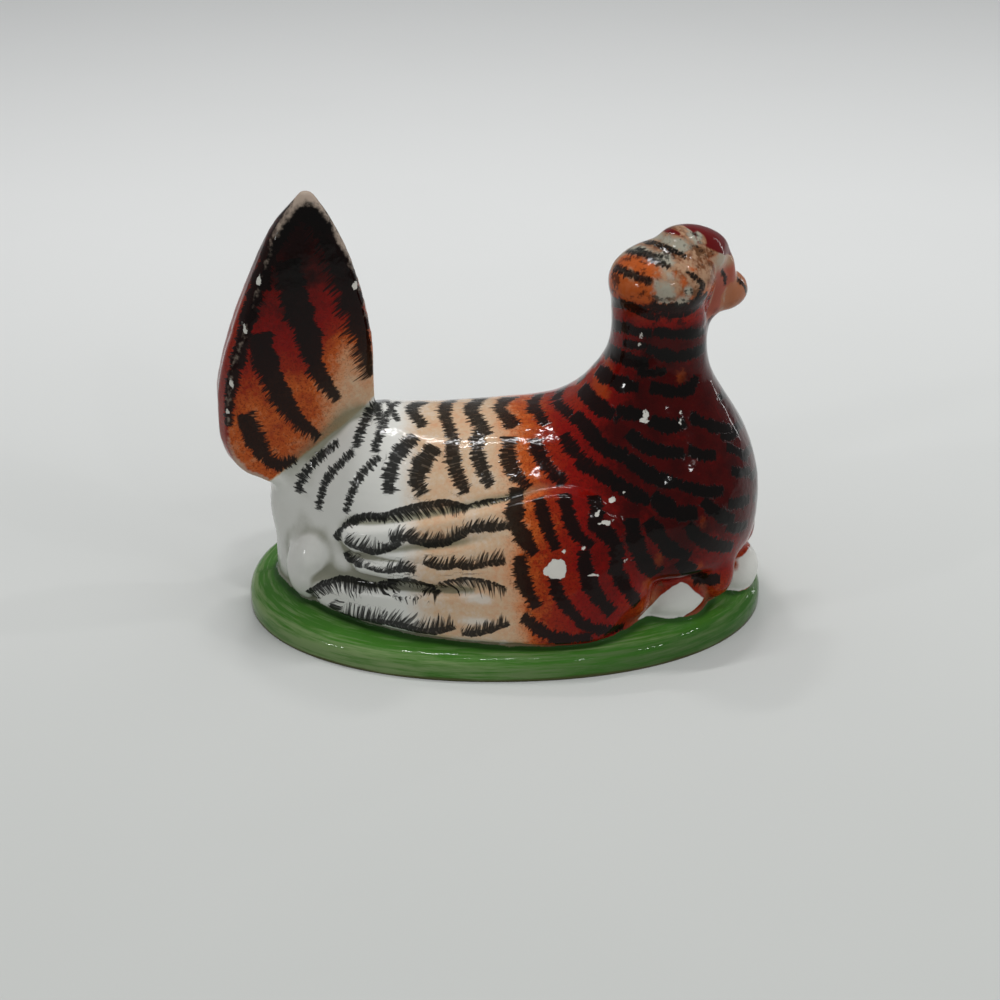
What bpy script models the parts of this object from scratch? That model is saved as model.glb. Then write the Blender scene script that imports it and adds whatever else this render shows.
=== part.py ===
"""Small porcelain hen sitting on eggs on an oval base, slip-cast in one piece.

The hen faces +X, her right side is towards -Y and the flat underside lies on z = 0.
All sizes below are in millimetres; the finished mesh is written in metres.
"""
import bpy
import numpy as np
from math import pi, sin, cos, radians, hypot
from mathutils import Matrix

MM = 0.001

# Oval base
BASE_LENGTH = 88.8
BASE_WIDTH = 59.2
BASE_SQUARENESS = 2.13
BASE_RIM = 4.2
BASE_SHOULDER = 2.5
BASE_CROWN = 1.7

# Body dome: front and rear ends, and stations of (x, half width at the nest, height of the back)
BODY_REAR = -39.6
BODY_FRONT = 42.0
BODY_STATIONS = (
    (-39.6, 0.0, 23.0), (-38.6, 3.6, 25.0), (-37.0, 6.8, 27.0), (-35.4, 9.2, 29.0),
    (-33.0, 11.8, 31.2), (-29.0, 15.4, 33.6), (-24.0, 18.9, 35.6), (-20.0, 21.0, 35.6),
    (-16.0, 22.7, 34.7), (-12.0, 24.0, 34.5), (-6.0, 25.3, 34.6), (0.0, 26.0, 34.9),
    (6.0, 26.1, 35.4), (10.0, 25.8, 36.3), (13.0, 25.2, 37.2), (17.0, 23.6, 37.8),
    (22.0, 19.8, 36.0), (27.0, 15.2, 31.0), (33.0, 11.4, 26.0), (38.0, 7.6, 20.0),
    (41.0, 4.0, 14.0), (42.0, 0.0, 10.0),
)
BODY_END_POWER = 6.0
RUMP = ((-30.4, 0.0, 18.0), (9.9, 8.6, 13.0))

# Breast and neck: height, x of the front line, x of the nape line, half width
NECK_STATIONS = (
    (11.4, 39.4, 4.0, 17.4), (12.6, 41.4, 4.0, 19.8), (15.0, 42.7, 4.0, 21.5),
    (21.0, 43.0, 5.0, 21.4), (28.6, 41.4, 5.6, 18.8), (34.6, 38.3, 7.4, 14.4),
    (37.4, 36.4, 11.0, 11.8), (40.4, 34.7, 13.6, 10.0), (43.0, 33.6, 15.6, 9.0),
    (46.1, 33.0, 16.9, 8.5), (48.7, 32.9, 17.2, 8.2), (53.0, 32.4, 17.0, 8.0),
    (56.5, 31.0, 17.0, 7.4), (58.5, 29.0, 18.0, 6.2),
)

# Head, turned away to the hen's left: middle, three half lengths and tilt of each mass
HEAD_YAW = 38.0
HEAD_PIVOT = (27.0, 1.0, 58.0)
HEAD_MASSES = (
    ((24.95, -0.5, 57.5), (8.9, 8.5, 6.0), -5.0),
    ((27.4, 0.8, 59.4), (7.4, 6.0, 5.2), -8.0),
    ((30.2, 3.0, 58.8), (6.3, 5.6, 6.2), 0.0),
    ((33.3, 4.1, 54.8), (4.5, 4.0, 6.9), 18.0),
    ((36.2, 5.8, 52.9), (5.3, 2.7, 3.8), 14.0),
    ((32.6, 3.9, 57.0), (4.2, 4.3, 4.8), 0.0),
)
COMB = ((30.35, 3.0, 61.95), (7.6, 4.2, 3.3), 17.0)
HEAD_BLEND = 0.3
BEAK_BLEND = 0.1
THROAT_BLEND = 0.85

# Front rim of the feathered cheek as (height, distance ahead of the pivot), and the step down to the face
CHEEK_RIM = (
    (49.4, -5.0), (50.2, -1.0), (50.8, 2.2), (52.5, 4.1), (55.0, 4.5), (57.5, 4.2), (60.6, 2.8), (62.6, 0.0),
)
CHEEK_STEP = 0.7
EYE = (7.3, 4.4, 57.0)
EYE_RADIUS = 0.85
EYE_HEIGHT = 0.4

# Tail: height, front edge x, ridge x, rear x, half width at the ridge
TAIL_STATIONS = (
    (18.0, -26.8, -35.0, -38.6, 5.2), (22.5, -23.3, -36.6, -39.0, 6.0),
    (24.8, -22.3, -39.6, -41.2, 6.3), (26.2, -21.9, -42.4, -44.2, 6.5),
    (29.0, -21.7, -44.2, -46.7, 6.8), (33.0, -21.5, -44.8, -47.7, 7.0),
    (38.5, -21.4, -44.6, -47.6, 7.0), (44.0, -21.3, -43.5, -46.6, 6.6),
    (50.5, -21.8, -41.3, -44.5, 5.9), (57.0, -23.2, -38.9, -41.9, 5.0),
    (63.0, -25.0, -36.7, -39.1, 3.9), (67.5, -27.1, -34.8, -36.5, 2.8),
    (70.7, -29.0, -32.7, -33.5, 1.7), (72.6, -30.3, -31.6, -32.0, 0.9),
)
TAIL_EDGE = 1.0
TAIL_FEATHERS = 5
TAIL_GROOVE = 0.55

# Eggs in the nest: x, y, z of the middle and the three half lengths, mirrored to both sides
EGGS = (
    ((27.0, 14.2, 6.8), (6.7, 5.0, 6.0), -16.0),
    ((38.0, 5.6, 7.2), (5.2, 4.9, 5.6), 10.0),
    ((-32.2, 9.4, 10.8), (4.9, 4.8, 6.4), 8.0),
)

# Lower edge of the breast, hanging in lobes between the eggs
BREAST_LOBES = (
    ((17.6, 17.6, 10.2), (6.6, 5.6, 6.6), -25.0),
    ((33.6, 12.4, 11.4), (3.8, 4.8, 6.0), -35.0),
    ((41.0, 0.0, 13.0), (2.4, 3.4, 4.6), 0.0),
)

# Wing relief in side view: tip, root, half depth at the tip and at the root
WING_FEATHERS = (
    ((-24.6, 18.9), (6.0, 22.4), 2.9, 5.9),
    ((-23.4, 15.3), (6.0, 17.0), 2.2, 4.4),
    ((-29.6, 8.4), (6.0, 10.4), 3.3, 6.0),
)
WING_SHOULDER = ((9.0, 15.8), (16.6, 12.8))
WING_THICKNESS = 1.6
WING_EDGE = 1.8
WING_CREASES = (
    ((-26.2, 16.9), (-15.0, 19.6), (0.0, 22.2)),
    ((-23.6, 13.3), (-13.0, 13.9), (-2.0, 15.0)),
)
CREASE_DEPTH = 0.6
CREASE_WIDTH = 0.95

# Hollow and vent
WALL = 3.2
HOLLOW_FLOOR = 3.4
VENT_DIAMETER = 6.0
VENT_X = -16.0

# Mesh
CLAY_GRID = 0.46
CLAY_SMOOTHING = 8
BLEND_ROUNDS = 86
NEST_BLEND = 0.12
TAIL_BLEND = 0.14
TRIANGLES = 10850


def clear_scene():
    for old in list(bpy.data.objects):
        bpy.data.objects.remove(old, do_unlink=True)


def mesh_object(name, points, faces):
    mesh = bpy.data.meshes.new(name)
    mesh.from_pydata([tuple(map(float, p)) for p in points], [], faces)
    mesh.update()
    ob = bpy.data.objects.new(name, mesh)
    bpy.context.scene.collection.objects.link(ob)
    return ob


def loft_data(rings):
    """Closed skin through rings of equal count, with flat ends."""
    count = len(rings[0])
    points = np.vstack(rings)
    faces = []
    for i in range(len(rings) - 1):
        low = i * count
        high = low + count
        for j in range(count):
            k = (j + 1) % count
            faces.append((low + j, low + k, high + k, high + j))
    faces.append(tuple(reversed(range(count))))
    last = (len(rings) - 1) * count
    faces.append(tuple(range(last, last + count)))
    return points, faces


def ellipsoid_data(centre, radii, yaw=0.0, pitch=0.0, around=28, up=18):
    rings = []
    turn = Matrix.Rotation(radians(yaw), 3, 'Z') @ Matrix.Rotation(radians(pitch), 3, 'Y')
    turn = np.array(turn)
    for i in range(up + 1):
        lat = -pi / 2 + pi * (0.02 + 0.96 * i / up)
        ring = []
        for j in range(around):
            lon = 2 * pi * j / around
            p = (radii[0] * cos(lat) * cos(lon), radii[1] * cos(lat) * sin(lon), radii[2] * sin(lat))
            ring.append(turn @ np.array(p) + np.array(centre))
        rings.append(np.array(ring))
    return loft_data(rings)


def smooth_curve(stations, at):
    """Monotone cubic through the stations: first column is the place, the rest are values."""
    table = np.array(stations, dtype=float)
    x = table[:, 0]
    at = np.clip(np.asarray(at, dtype=float), x[0], x[-1])
    gap = np.diff(x)
    out = []
    for col in range(1, table.shape[1]):
        y = table[:, col]
        rise = np.diff(y) / gap
        slope = np.zeros(len(x))
        slope[0], slope[-1] = rise[0], rise[-1]
        for i in range(1, len(x) - 1):
            if rise[i - 1] * rise[i] > 0:
                slope[i] = 2 * rise[i - 1] * rise[i] / (rise[i - 1] + rise[i])
        i = np.clip(np.searchsorted(x, at) - 1, 0, len(x) - 2)
        t = (at - x[i]) / gap[i]
        h = gap[i]
        out.append(y[i] * (1 + 2 * t) * (1 - t) ** 2 + slope[i] * h * t * (1 - t) ** 2
                   + y[i + 1] * t * t * (3 - 2 * t) + slope[i + 1] * h * t * t * (t - 1))
    return out


def oval(a, b, power, count, z):
    ring = []
    for j in range(count):
        t = 2 * pi * j / count
        c, s = cos(t), sin(t)
        x = a * np.sign(c) * abs(c) ** (2 / power)
        y = b * np.sign(s) * abs(s) ** (2 / power)
        ring.append((x, y, z))
    return np.array(ring)


def base_clay():
    """Oval slab with a rounded shoulder and a top that rises to the nest."""
    a, b = BASE_LENGTH / 2, BASE_WIDTH / 2
    rings = []
    for z in (-2.0, BASE_RIM - BASE_SHOULDER):
        rings.append(oval(a, b, BASE_SQUARENESS, 120, z))
    for i in range(1, 7):
        t = pi / 2 * i / 6
        inset = BASE_SHOULDER * (1 - cos(t))
        z = BASE_RIM - BASE_SHOULDER * (1 - sin(t))
        rings.append(oval(a - inset, b - inset, BASE_SQUARENESS, 120, z))
    for i in range(1, 6):
        inset = BASE_SHOULDER + 11.0 * i / 5
        z = BASE_RIM + BASE_CROWN * (1 - (1 - i / 5) ** 2)
        rings.append(oval(a - inset, b - inset, BASE_SQUARENESS, 120, z))
    return loft_data(rings)


def body_clay():
    """Dome with half-oval sections standing across the base."""
    count = 64
    middle = (BODY_FRONT + BODY_REAR) / 2
    half = (BODY_FRONT - BODY_REAR) / 2
    rings = []
    for i in range(61):
        x = middle - half * 0.998 * cos(pi * i / 60)
        width, top = [float(v) for v in smooth_curve(BODY_STATIONS, x)]
        end = (1 - min(0.9999, abs((x - middle) / half)) ** BODY_END_POWER) ** (1 / BODY_END_POWER)
        width = max(width, 0.4)
        low = 2.0
        top = low + (top - low) * end
        ring = []
        for j in range(count):
            t = 2 * pi * j / count
            s = sin(t)
            lift = (top - low) * s ** 0.96 if s > 0 else 1.5 * s
            ring.append((x, -width * cos(t), low + lift))
        rings.append(np.array(ring))
    points, faces = loft_data(rings)
    return points, [tuple(reversed(f)) for f in faces]


def neck_clay():
    """Breast and neck from level oval sections."""
    rings = []
    low, high = NECK_STATIONS[0][0], NECK_STATIONS[-1][0]
    for i in range(45):
        z = low + (high - low) * i / 44
        front, nape, half = [float(v) for v in smooth_curve(NECK_STATIONS, z)]
        ring = oval((front - nape) / 2, half, 2.1, 64, z)
        ring[:, 0] += (front + nape) / 2
        rings.append(ring)
    return loft_data(rings)


def tail_clay():
    """Upright leaf: a thin front edge, flat flanks and a grooved, rounded back."""
    rings = []
    flank, back = 14, 20
    low, high = TAIL_STATIONS[0][0], TAIL_STATIONS[-1][0]
    for i in range(61):
        z = low + (high - low) * i / 60
        front, ridge, rear, half = [float(v) for v in smooth_curve(TAIL_STATIONS, z)]
        near = []
        for j in range(flank):
            t = j / flank
            bulge = 0.55 * sin(pi * t)
            edge = TAIL_EDGE * min(1.0, half / 2) * min(1.0, j)
            near.append((front + (ridge - front) * t, edge + (half - edge) * t ** 0.9
                         + bulge * min(1.0, half / 4)))
        for j in range(back + 1):
            t = j / back
            angle = pi / 2 * t
            wave = abs(sin(TAIL_FEATHERS * angle * 1.0))
            dip = TAIL_GROOVE * (1 - wave) * min(1.0, half / 4)
            x = ridge + (rear - ridge) * sin(angle) + dip
            near.append((x, half * cos(angle)))
        ring = [(x, -y, z) for x, y in near] + [(x, y, z) for x, y in reversed(near[1:-1])]
        rings.append(np.array(ring))
    points, faces = loft_data(rings)
    return points, [tuple(reversed(f)) for f in faces]


def head_clay():
    """Feathered cheeks, skull, narrow face, stub beak and low comb."""
    return [ellipsoid_data(centre, radii, HEAD_YAW, tilt)
            for centre, radii, tilt in HEAD_MASSES + (COMB,)]


def paired_clay():
    """Eggs and breast lobes, the same on both sides."""
    parts = []
    for (x, y, z), radii, yaw in EGGS + BREAST_LOBES:
        for side in (-1, 1) if y else (1,):
            parts.append(ellipsoid_data((x, side * y, z), radii, side * yaw))
    return parts


def joined(name, parts):
    points, faces, start = [], [], 0
    for part_points, part_faces in parts:
        points.append(np.asarray(part_points))
        faces += [tuple(start + i for i in face) for face in part_faces]
        start += len(part_points)
    return mesh_object(name, np.vstack(points), faces)


def applied(ob):
    """The object's mesh with its modifiers worked in."""
    graph = bpy.context.evaluated_depsgraph_get()
    graph.update()
    mesh = bpy.data.meshes.new_from_object(ob.evaluated_get(graph))
    ob.modifiers.clear()
    old = ob.data
    ob.data = mesh
    bpy.data.meshes.remove(old)


def mesh_arrays(mesh):
    points = np.empty(len(mesh.vertices) * 3)
    mesh.vertices.foreach_get('co', points)
    edges = np.empty(len(mesh.edges) * 2, dtype=np.int64)
    mesh.edges.foreach_get('vertices', edges)
    return points.reshape(-1, 3), edges.reshape(-1, 2)


def vertex_normals(mesh):
    normals = np.empty(len(mesh.vertices) * 3)
    mesh.vertices.foreach_get('normal', normals)
    return normals.reshape(-1, 3)


def smoothed(points, edges, rounds):
    """Even out the clay without shrinking it: each pull in is followed by a push out."""
    a, b = edges[:, 0], edges[:, 1]
    degree = np.bincount(a, minlength=len(points)) + np.bincount(b, minlength=len(points))
    for step in range(2 * int(rounds)):
        total = np.zeros_like(points)
        for axis in range(3):
            total[:, axis] += np.bincount(a, points[b, axis], len(points))
            total[:, axis] += np.bincount(b, points[a, axis], len(points))
        amount = 0.55 if step % 2 == 0 else -0.56
        points = points + amount * (total / degree[:, None] - points)
    return points


def blended(points, edges, weight, rounds):
    """Melt neighbouring masses into one another where the weight allows."""
    a, b = edges[:, 0], edges[:, 1]
    degree = np.bincount(a, minlength=len(points)) + np.bincount(b, minlength=len(points))
    for step in range(int(rounds)):
        total = np.zeros_like(points)
        for axis in range(3):
            total[:, axis] += np.bincount(a, points[b, axis], len(points))
            total[:, axis] += np.bincount(b, points[a, axis], len(points))
        points = points + 0.5 * weight[:, None] * (total / degree[:, None] - points)
    return points


def soft_step(value, low, high):
    t = np.clip((value - low) / (high - low), 0, 1)
    return t * t * (3 - 2 * t)


def feather_depth(x, z, tip, root, tip_half, root_half):
    """How far inside a tapered feather each point is, negative outside."""
    dx, dz = root[0] - tip[0], root[1] - tip[1]
    t = np.clip(((x - tip[0]) * dx + (z - tip[1]) * dz) / (dx * dx + dz * dz), 0, 1)
    away = np.hypot(x - tip[0] - t * dx, z - tip[1] - t * dz)
    return tip_half + (root_half - tip_half) * t - away


def line_distance(x, z, line):
    away = np.full(len(x), 1e9)
    for (ax, az), (bx, bz) in zip(line[:-1], line[1:]):
        dx, dz = bx - ax, bz - az
        t = np.clip(((x - ax) * dx + (z - az) * dz) / (dx * dx + dz * dz), 0, 1)
        away = np.minimum(away, np.hypot(x - ax - t * dx, z - az - t * dz))
    return away


def head_frame(points):
    """Places in the turned head: ahead of the pivot, out to the side, and height."""
    c, s = cos(radians(HEAD_YAW)), sin(radians(HEAD_YAW))
    x, y = points[:, 0] - HEAD_PIVOT[0], points[:, 1] - HEAD_PIVOT[1]
    return x * c + y * s, np.abs(y * c - x * s), points[:, 2]


def blend_weight(points):
    """Full over the body and lower neck, slight on the head, none on the tail, the nest and the base."""
    x, y, z = points.T
    ahead, out, height = head_frame(points)
    beak = soft_step(ahead, 7.0, 11.0) * soft_step(z, 46.0, 50.0)
    head = soft_step(z, 45.0, 50.0) * soft_step(x, 0.0, 5.0) * (HEAD_BLEND * (1 - beak) + BEAK_BLEND * beak)
    throat = soft_step(ahead, 1.5, 4.0) * soft_step(z, 41.0, 44.0) * (1 - soft_step(z, 50.0, 53.0))
    blade = soft_step(z - 24.5 - 0.62 * (x + 39.0), -2.0, 2.5) * (1 - soft_step(x, -21.5, -19.0))
    under_tail = soft_step(-x, 36.0, 41.0) * soft_step(z, 20.0, 24.0)
    nest = (1 - soft_step(z, 10.0, 17.0)) * np.maximum(soft_step(x, 14.0, 20.0), soft_step(-x, 22.0, 27.0))
    nest = nest * (1 - NEST_BLEND)
    low = soft_step(z, 7.0, 11.0) * (1 - soft_step(z, 46.0, 52.0))
    body = low * (1 - blade) * (1 - under_tail) * (1 - nest)
    tail = TAIL_BLEND * blade * (1 - soft_step(x, -19.0, -16.0))
    return np.maximum(body, tail) + np.maximum(head, THROAT_BLEND * throat * (1 - beak))


def head_relief(points):
    """Face set back behind the cheek's rim, and a bead for each eye."""
    ahead, out, height = head_frame(points)
    heights, rim = np.array(CHEEK_RIM).T
    past = ahead - np.interp(height, heights, rim)
    near = soft_step(height, heights[0], 53.0) * (1 - soft_step(height, 57.5, 61.0))
    near = near * soft_step(out, 1.5, 3.5) * (1 - soft_step(ahead, 7.5, 10.5))
    step = -CHEEK_STEP * soft_step(past, -0.35, 0.35) * near
    eye = np.sqrt((ahead - EYE[0]) ** 2 + (out - EYE[1]) ** 2 + (height - EYE[2]) ** 2)
    return step + EYE_HEIGHT * (1 - soft_step(eye, 0.3 * EYE_RADIUS, 1.5 * EYE_RADIUS))


def relief(points):
    """Thickness added over the wings, the same on both sides."""
    x, y, z = points.T
    (cx, cz), (rx, rz) = WING_SHOULDER
    inside = (1 - np.hypot((x - cx) / rx, (z - cz) / rz)) * min(rx, rz)
    for tip, root, tip_half, root_half in WING_FEATHERS:
        inside = np.maximum(inside, feather_depth(x, z, tip, root, tip_half, root_half))
    front_fade = 1 - soft_step(x, 12.0, 24.0)
    edge = WING_EDGE + 4.0 * (1 - front_fade)
    lift = WING_THICKNESS * soft_step(inside, 0.0, 1.0 * edge) * (0.35 + 0.65 * front_fade)
    fade = soft_step(-x, 0.0, 10.0)
    for line in WING_CREASES:
        groove = np.exp(-(line_distance(x, z, line) / CREASE_WIDTH) ** 2)
        lift = lift - CREASE_DEPTH * groove * fade * soft_step(inside, -0.5, 1.0)
    return lift * soft_step(np.abs(y), 5.0, 8.0) * soft_step(z, 4.4, 5.6)


def hollow_data():
    """Inner skin of the casting, kept one wall inside the body and the neck."""
    rings = []
    low, high = HOLLOW_FLOOR, 50.0
    levels = 14
    for i in range(levels + 1):
        z = low + (high - low) * i / levels
        front, nape, half = [float(v) for v in smooth_curve(NECK_STATIONS, max(z, NECK_STATIONS[0][0]))]
        wall = WALL * 1.25
        neck_rear, neck_front, neck_half = nape + wall, front - wall, half - wall
        body_top = 30.4
        s = min(1.0, max(0.0, (z - 2.0) / (body_top - 2.0)))
        round_in = (1 - s ** 2.3) ** 0.5
        merge = float(soft_step(np.array(z), 26.0, 36.0))
        rear = (1 - merge) * (-30.5 * round_in + 2.0 * (1 - round_in)) + merge * neck_rear
        rear = min(rear, neck_rear)
        half_y = (1 - merge) * max(neck_half, 22.0 * round_in) + merge * neck_half
        if z < 12.0:
            neck_front = min(neck_front, 31.5 + 0.5 * (z - low))
        ring = oval((neck_front - rear) / 2, half_y, 2.0, 28, z)
        ring[:, 0] += (neck_front + rear) / 2
        rings.append(ring)
    return loft_data(rings)


def cut(ob, tool, operation='DIFFERENCE'):
    tool.hide_render = True
    tool.display_type = 'WIRE'
    mod = ob.modifiers.new(operation.title(), 'BOOLEAN')
    mod.operation = operation
    mod.object = tool
    mod.solver = 'EXACT'
    applied(ob)
    bpy.data.objects.remove(tool, do_unlink=True)


def block(name, low, high):
    xs, ys, zs = zip(low, high)
    points = [(x, y, z) for x in xs for y in ys for z in zs]
    faces = [(0, 1, 3, 2), (4, 6, 7, 5), (0, 4, 5, 1), (2, 3, 7, 6), (0, 2, 6, 4), (1, 5, 7, 3)]
    return mesh_object(name, points, faces)


def build():
    clear_scene()
    parts = [base_clay(), body_clay(), neck_clay(), tail_clay()]
    parts += head_clay()
    parts += paired_clay()
    parts.append(ellipsoid_data(RUMP[0], RUMP[1]))
    hen = joined('hen_figurine', parts)

    mod = hen.modifiers.new('Clay', 'REMESH')
    mod.mode = 'VOXEL'
    mod.voxel_size = CLAY_GRID
    mod.adaptivity = 0.0
    applied(hen)
    points, edges = mesh_arrays(hen.data)
    points = smoothed(points, edges, CLAY_SMOOTHING)
    points = blended(points, edges, blend_weight(points), BLEND_ROUNDS)
    hen.data.vertices.foreach_set('co', points.ravel())
    hen.data.update()
    carved = relief(points) + head_relief(points)
    points = points + vertex_normals(hen.data) * carved[:, None]
    points = smoothed(points, edges, 1)
    hen.data.vertices.foreach_set('co', points.ravel())
    hen.data.update()

    cut(hen, block('Ground', (-70.0, -50.0, -20.0), (70.0, 50.0, 0.0)))
    hen.data.calc_loop_triangles()
    mod = hen.modifiers.new('Fewer', 'DECIMATE')
    mod.ratio = min(1.0, TRIANGLES / len(hen.data.loop_triangles))
    mod.use_collapse_triangulate = True
    applied(hen)

    points, faces = hollow_data()
    cut(hen, mesh_object('Hollow', points, faces))
    rings = []
    for z in (-3.0, HOLLOW_FLOOR + 3.0):
        ring = oval(VENT_DIAMETER / 2, VENT_DIAMETER / 2, 2.0, 24, z)
        ring[:, 0] += VENT_X
        rings.append(ring)
    points, faces = loft_data(rings)
    cut(hen, mesh_object('Vent', points, faces))

    hen.data.transform(Matrix.Scale(MM, 4))
    hen.data.update()
    for poly in hen.data.polygons:
        poly.use_smooth = True
    glaze = bpy.data.materials.new('painted_porcelain')
    glaze.use_nodes = True
    shader = glaze.node_tree.nodes['Principled BSDF']
    shader.inputs['Base Color'].default_value = (0.62, 0.30, 0.18, 1.0)
    shader.inputs['Roughness'].default_value = 0.12
    hen.data.materials.clear()
    hen.data.materials.append(glaze)


build()
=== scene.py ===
"""Looks of the small porcelain hen: fine skin, hand-painted enamel, glaze, pale cloth and soft light.

Lengths are in millimetres until the skin is finished, then metres like the frame.
"""
import bpy
import numpy as np
from math import pi, sin, cos, radians
from mathutils import Matrix, Vector, noise
from mathutils.bvhtree import BVHTree
from mathutils.kdtree import KDTree


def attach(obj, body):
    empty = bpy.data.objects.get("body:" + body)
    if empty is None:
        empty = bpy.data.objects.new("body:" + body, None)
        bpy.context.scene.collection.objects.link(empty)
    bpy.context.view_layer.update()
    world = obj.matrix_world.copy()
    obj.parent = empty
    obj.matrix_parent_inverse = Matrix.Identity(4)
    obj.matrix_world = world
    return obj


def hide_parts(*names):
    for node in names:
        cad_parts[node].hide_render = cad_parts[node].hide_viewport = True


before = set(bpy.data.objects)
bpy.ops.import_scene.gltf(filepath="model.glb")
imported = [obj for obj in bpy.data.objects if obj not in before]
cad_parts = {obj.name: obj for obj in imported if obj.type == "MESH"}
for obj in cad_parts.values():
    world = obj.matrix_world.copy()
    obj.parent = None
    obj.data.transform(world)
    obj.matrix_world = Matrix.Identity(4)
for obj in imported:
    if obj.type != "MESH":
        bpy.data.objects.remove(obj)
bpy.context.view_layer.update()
MM = 0.001
rng = np.random.default_rng(7)

# Camera of the photograph: side of the square picture in pixels; lens, sensor, distance and aim in mm
PHOTO_SIDE = 1000
LENS = 61.2
SENSOR = 36.0
CAMERA_LIFT = radians(28.0)
CAMERA_TURN = radians(-1.7)
CAMERA_DISTANCE = 291.0
CAMERA_AIM = Vector((-0.9, 0.0, 17.4))
CAMERA_BACK = Vector((
    sin(CAMERA_TURN) * cos(CAMERA_LIFT), -cos(CAMERA_TURN) * cos(CAMERA_LIFT), sin(CAMERA_LIFT),
))
CAMERA_EYE = CAMERA_AIM + CAMERA_DISTANCE * CAMERA_BACK

# Oval base
BASE_LENGTH = 88.8
BASE_WIDTH = 59.2
BASE_SQUARENESS = 2.13
BASE_RIM = 4.2
BASE_SHOULDER = 2.5
BASE_CROWN = 1.7

# Body dome: stations of (x, half width at the nest, height of the back)
BODY_REAR = -39.6
BODY_FRONT = 42.0
BODY_STATIONS = (
    (-39.6, 0.0, 23.0), (-38.6, 3.6, 25.0), (-37.0, 6.8, 27.0), (-35.4, 9.2, 29.0),
    (-33.0, 11.8, 31.2), (-29.0, 15.4, 33.6), (-24.0, 18.9, 35.6), (-20.0, 21.0, 35.6),
    (-16.0, 22.7, 34.7), (-12.0, 24.0, 34.5), (-6.0, 25.3, 34.6), (0.0, 26.0, 34.9),
    (6.0, 26.1, 35.4), (10.0, 25.8, 36.3), (13.0, 25.2, 37.2), (17.0, 23.6, 37.8),
    (22.0, 19.8, 36.0), (27.0, 15.2, 31.0), (33.0, 11.4, 26.0), (38.0, 7.6, 20.0),
    (41.0, 4.0, 14.0), (42.0, 0.0, 10.0),
)
BODY_END_POWER = 6.0
RUMP = ((-30.4, 0.0, 18.0), (9.9, 8.6, 13.0))

# Breast and neck: height, x of the front line, x of the nape line, half width
NECK_STATIONS = (
    (11.4, 39.4, 4.0, 17.4), (12.6, 41.4, 4.0, 19.8), (15.0, 42.7, 4.0, 21.5),
    (21.0, 43.0, 5.0, 21.4), (28.6, 41.4, 5.6, 18.8), (34.6, 38.3, 7.4, 14.4),
    (37.4, 36.4, 11.0, 11.8), (40.4, 34.7, 13.6, 10.0), (43.0, 33.6, 15.6, 9.0),
    (46.1, 33.0, 16.9, 8.5), (48.7, 32.9, 17.2, 8.2), (53.0, 32.4, 17.0, 8.0),
    (56.5, 31.0, 17.0, 7.4), (58.5, 29.0, 18.0, 6.2),
)

# Head, turned away to the hen's left: middle, three half lengths and tilt of each mass
HEAD_YAW = 38.0
HEAD_PIVOT = (27.0, 1.0, 58.0)
HEAD_MASSES = (
    ((24.95, -0.5, 57.5), (8.9, 8.5, 6.0), -5.0),
    ((27.4, 0.8, 59.4), (7.4, 6.0, 5.2), -8.0),
    ((30.2, 3.0, 58.8), (6.3, 5.6, 6.2), 0.0),
    ((33.3, 4.1, 54.8), (4.5, 4.0, 6.9), 18.0),
    ((36.2, 5.8, 52.9), (5.3, 2.7, 3.8), 14.0),
    ((32.6, 3.9, 57.0), (4.2, 4.3, 4.8), 0.0),
)
COMB = ((30.35, 3.0, 61.95), (7.6, 4.2, 3.3), 17.0)
HEAD_BLEND = 0.3
BEAK_BLEND = 0.1
THROAT_BLEND = 0.85

# Front rim of the feathered cheek as (height, distance ahead of the pivot), and the step down to the face
CHEEK_RIM = (
    (49.4, -5.0), (50.2, -1.0), (50.8, 2.2), (52.5, 4.1), (55.0, 4.5), (57.5, 4.2), (60.6, 2.8), (62.6, 0.0),
)
CHEEK_STEP = 0.7
EYE = (7.3, 4.4, 57.0)
EYE_RADIUS = 0.85
EYE_HEIGHT = 0.4

# Tail: height, front edge x, ridge x, rear x, half width at the ridge
TAIL_STATIONS = (
    (18.0, -26.8, -35.0, -38.6, 5.2), (22.5, -23.3, -36.6, -39.0, 6.0),
    (24.8, -22.3, -39.6, -41.2, 6.3), (26.2, -21.9, -42.4, -44.2, 6.5),
    (29.0, -21.7, -44.2, -46.7, 6.8), (33.0, -21.5, -44.8, -47.7, 7.0),
    (38.5, -21.4, -44.6, -47.6, 7.0), (44.0, -21.3, -43.5, -46.6, 6.6),
    (50.5, -21.8, -41.3, -44.5, 5.9), (57.0, -23.2, -38.9, -41.9, 5.0),
    (63.0, -25.0, -36.7, -39.1, 3.9), (67.5, -27.1, -34.8, -36.5, 2.8),
    (70.7, -29.0, -32.7, -33.5, 1.7), (72.6, -30.3, -31.6, -32.0, 0.9),
)
TAIL_EDGE = 1.0
TAIL_FEATHERS = 5
TAIL_GROOVE = 0.55

# Eggs and the breast lobes over them: middle, half lengths and turn, mirrored to both sides
EGGS = (
    ((27.0, 14.2, 6.8), (6.7, 5.0, 6.0), -16.0),
    ((38.0, 5.6, 7.2), (5.2, 4.9, 5.6), 10.0),
    ((-32.2, 9.4, 10.8), (4.9, 4.8, 6.4), 8.0),
)
BREAST_LOBES = (
    ((17.6, 17.6, 10.2), (6.6, 5.6, 6.6), -25.0),
    ((33.6, 12.4, 11.4), (3.8, 4.8, 6.0), -35.0),
    ((41.0, 0.0, 13.0), (2.4, 3.4, 4.6), 0.0),
)

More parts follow.
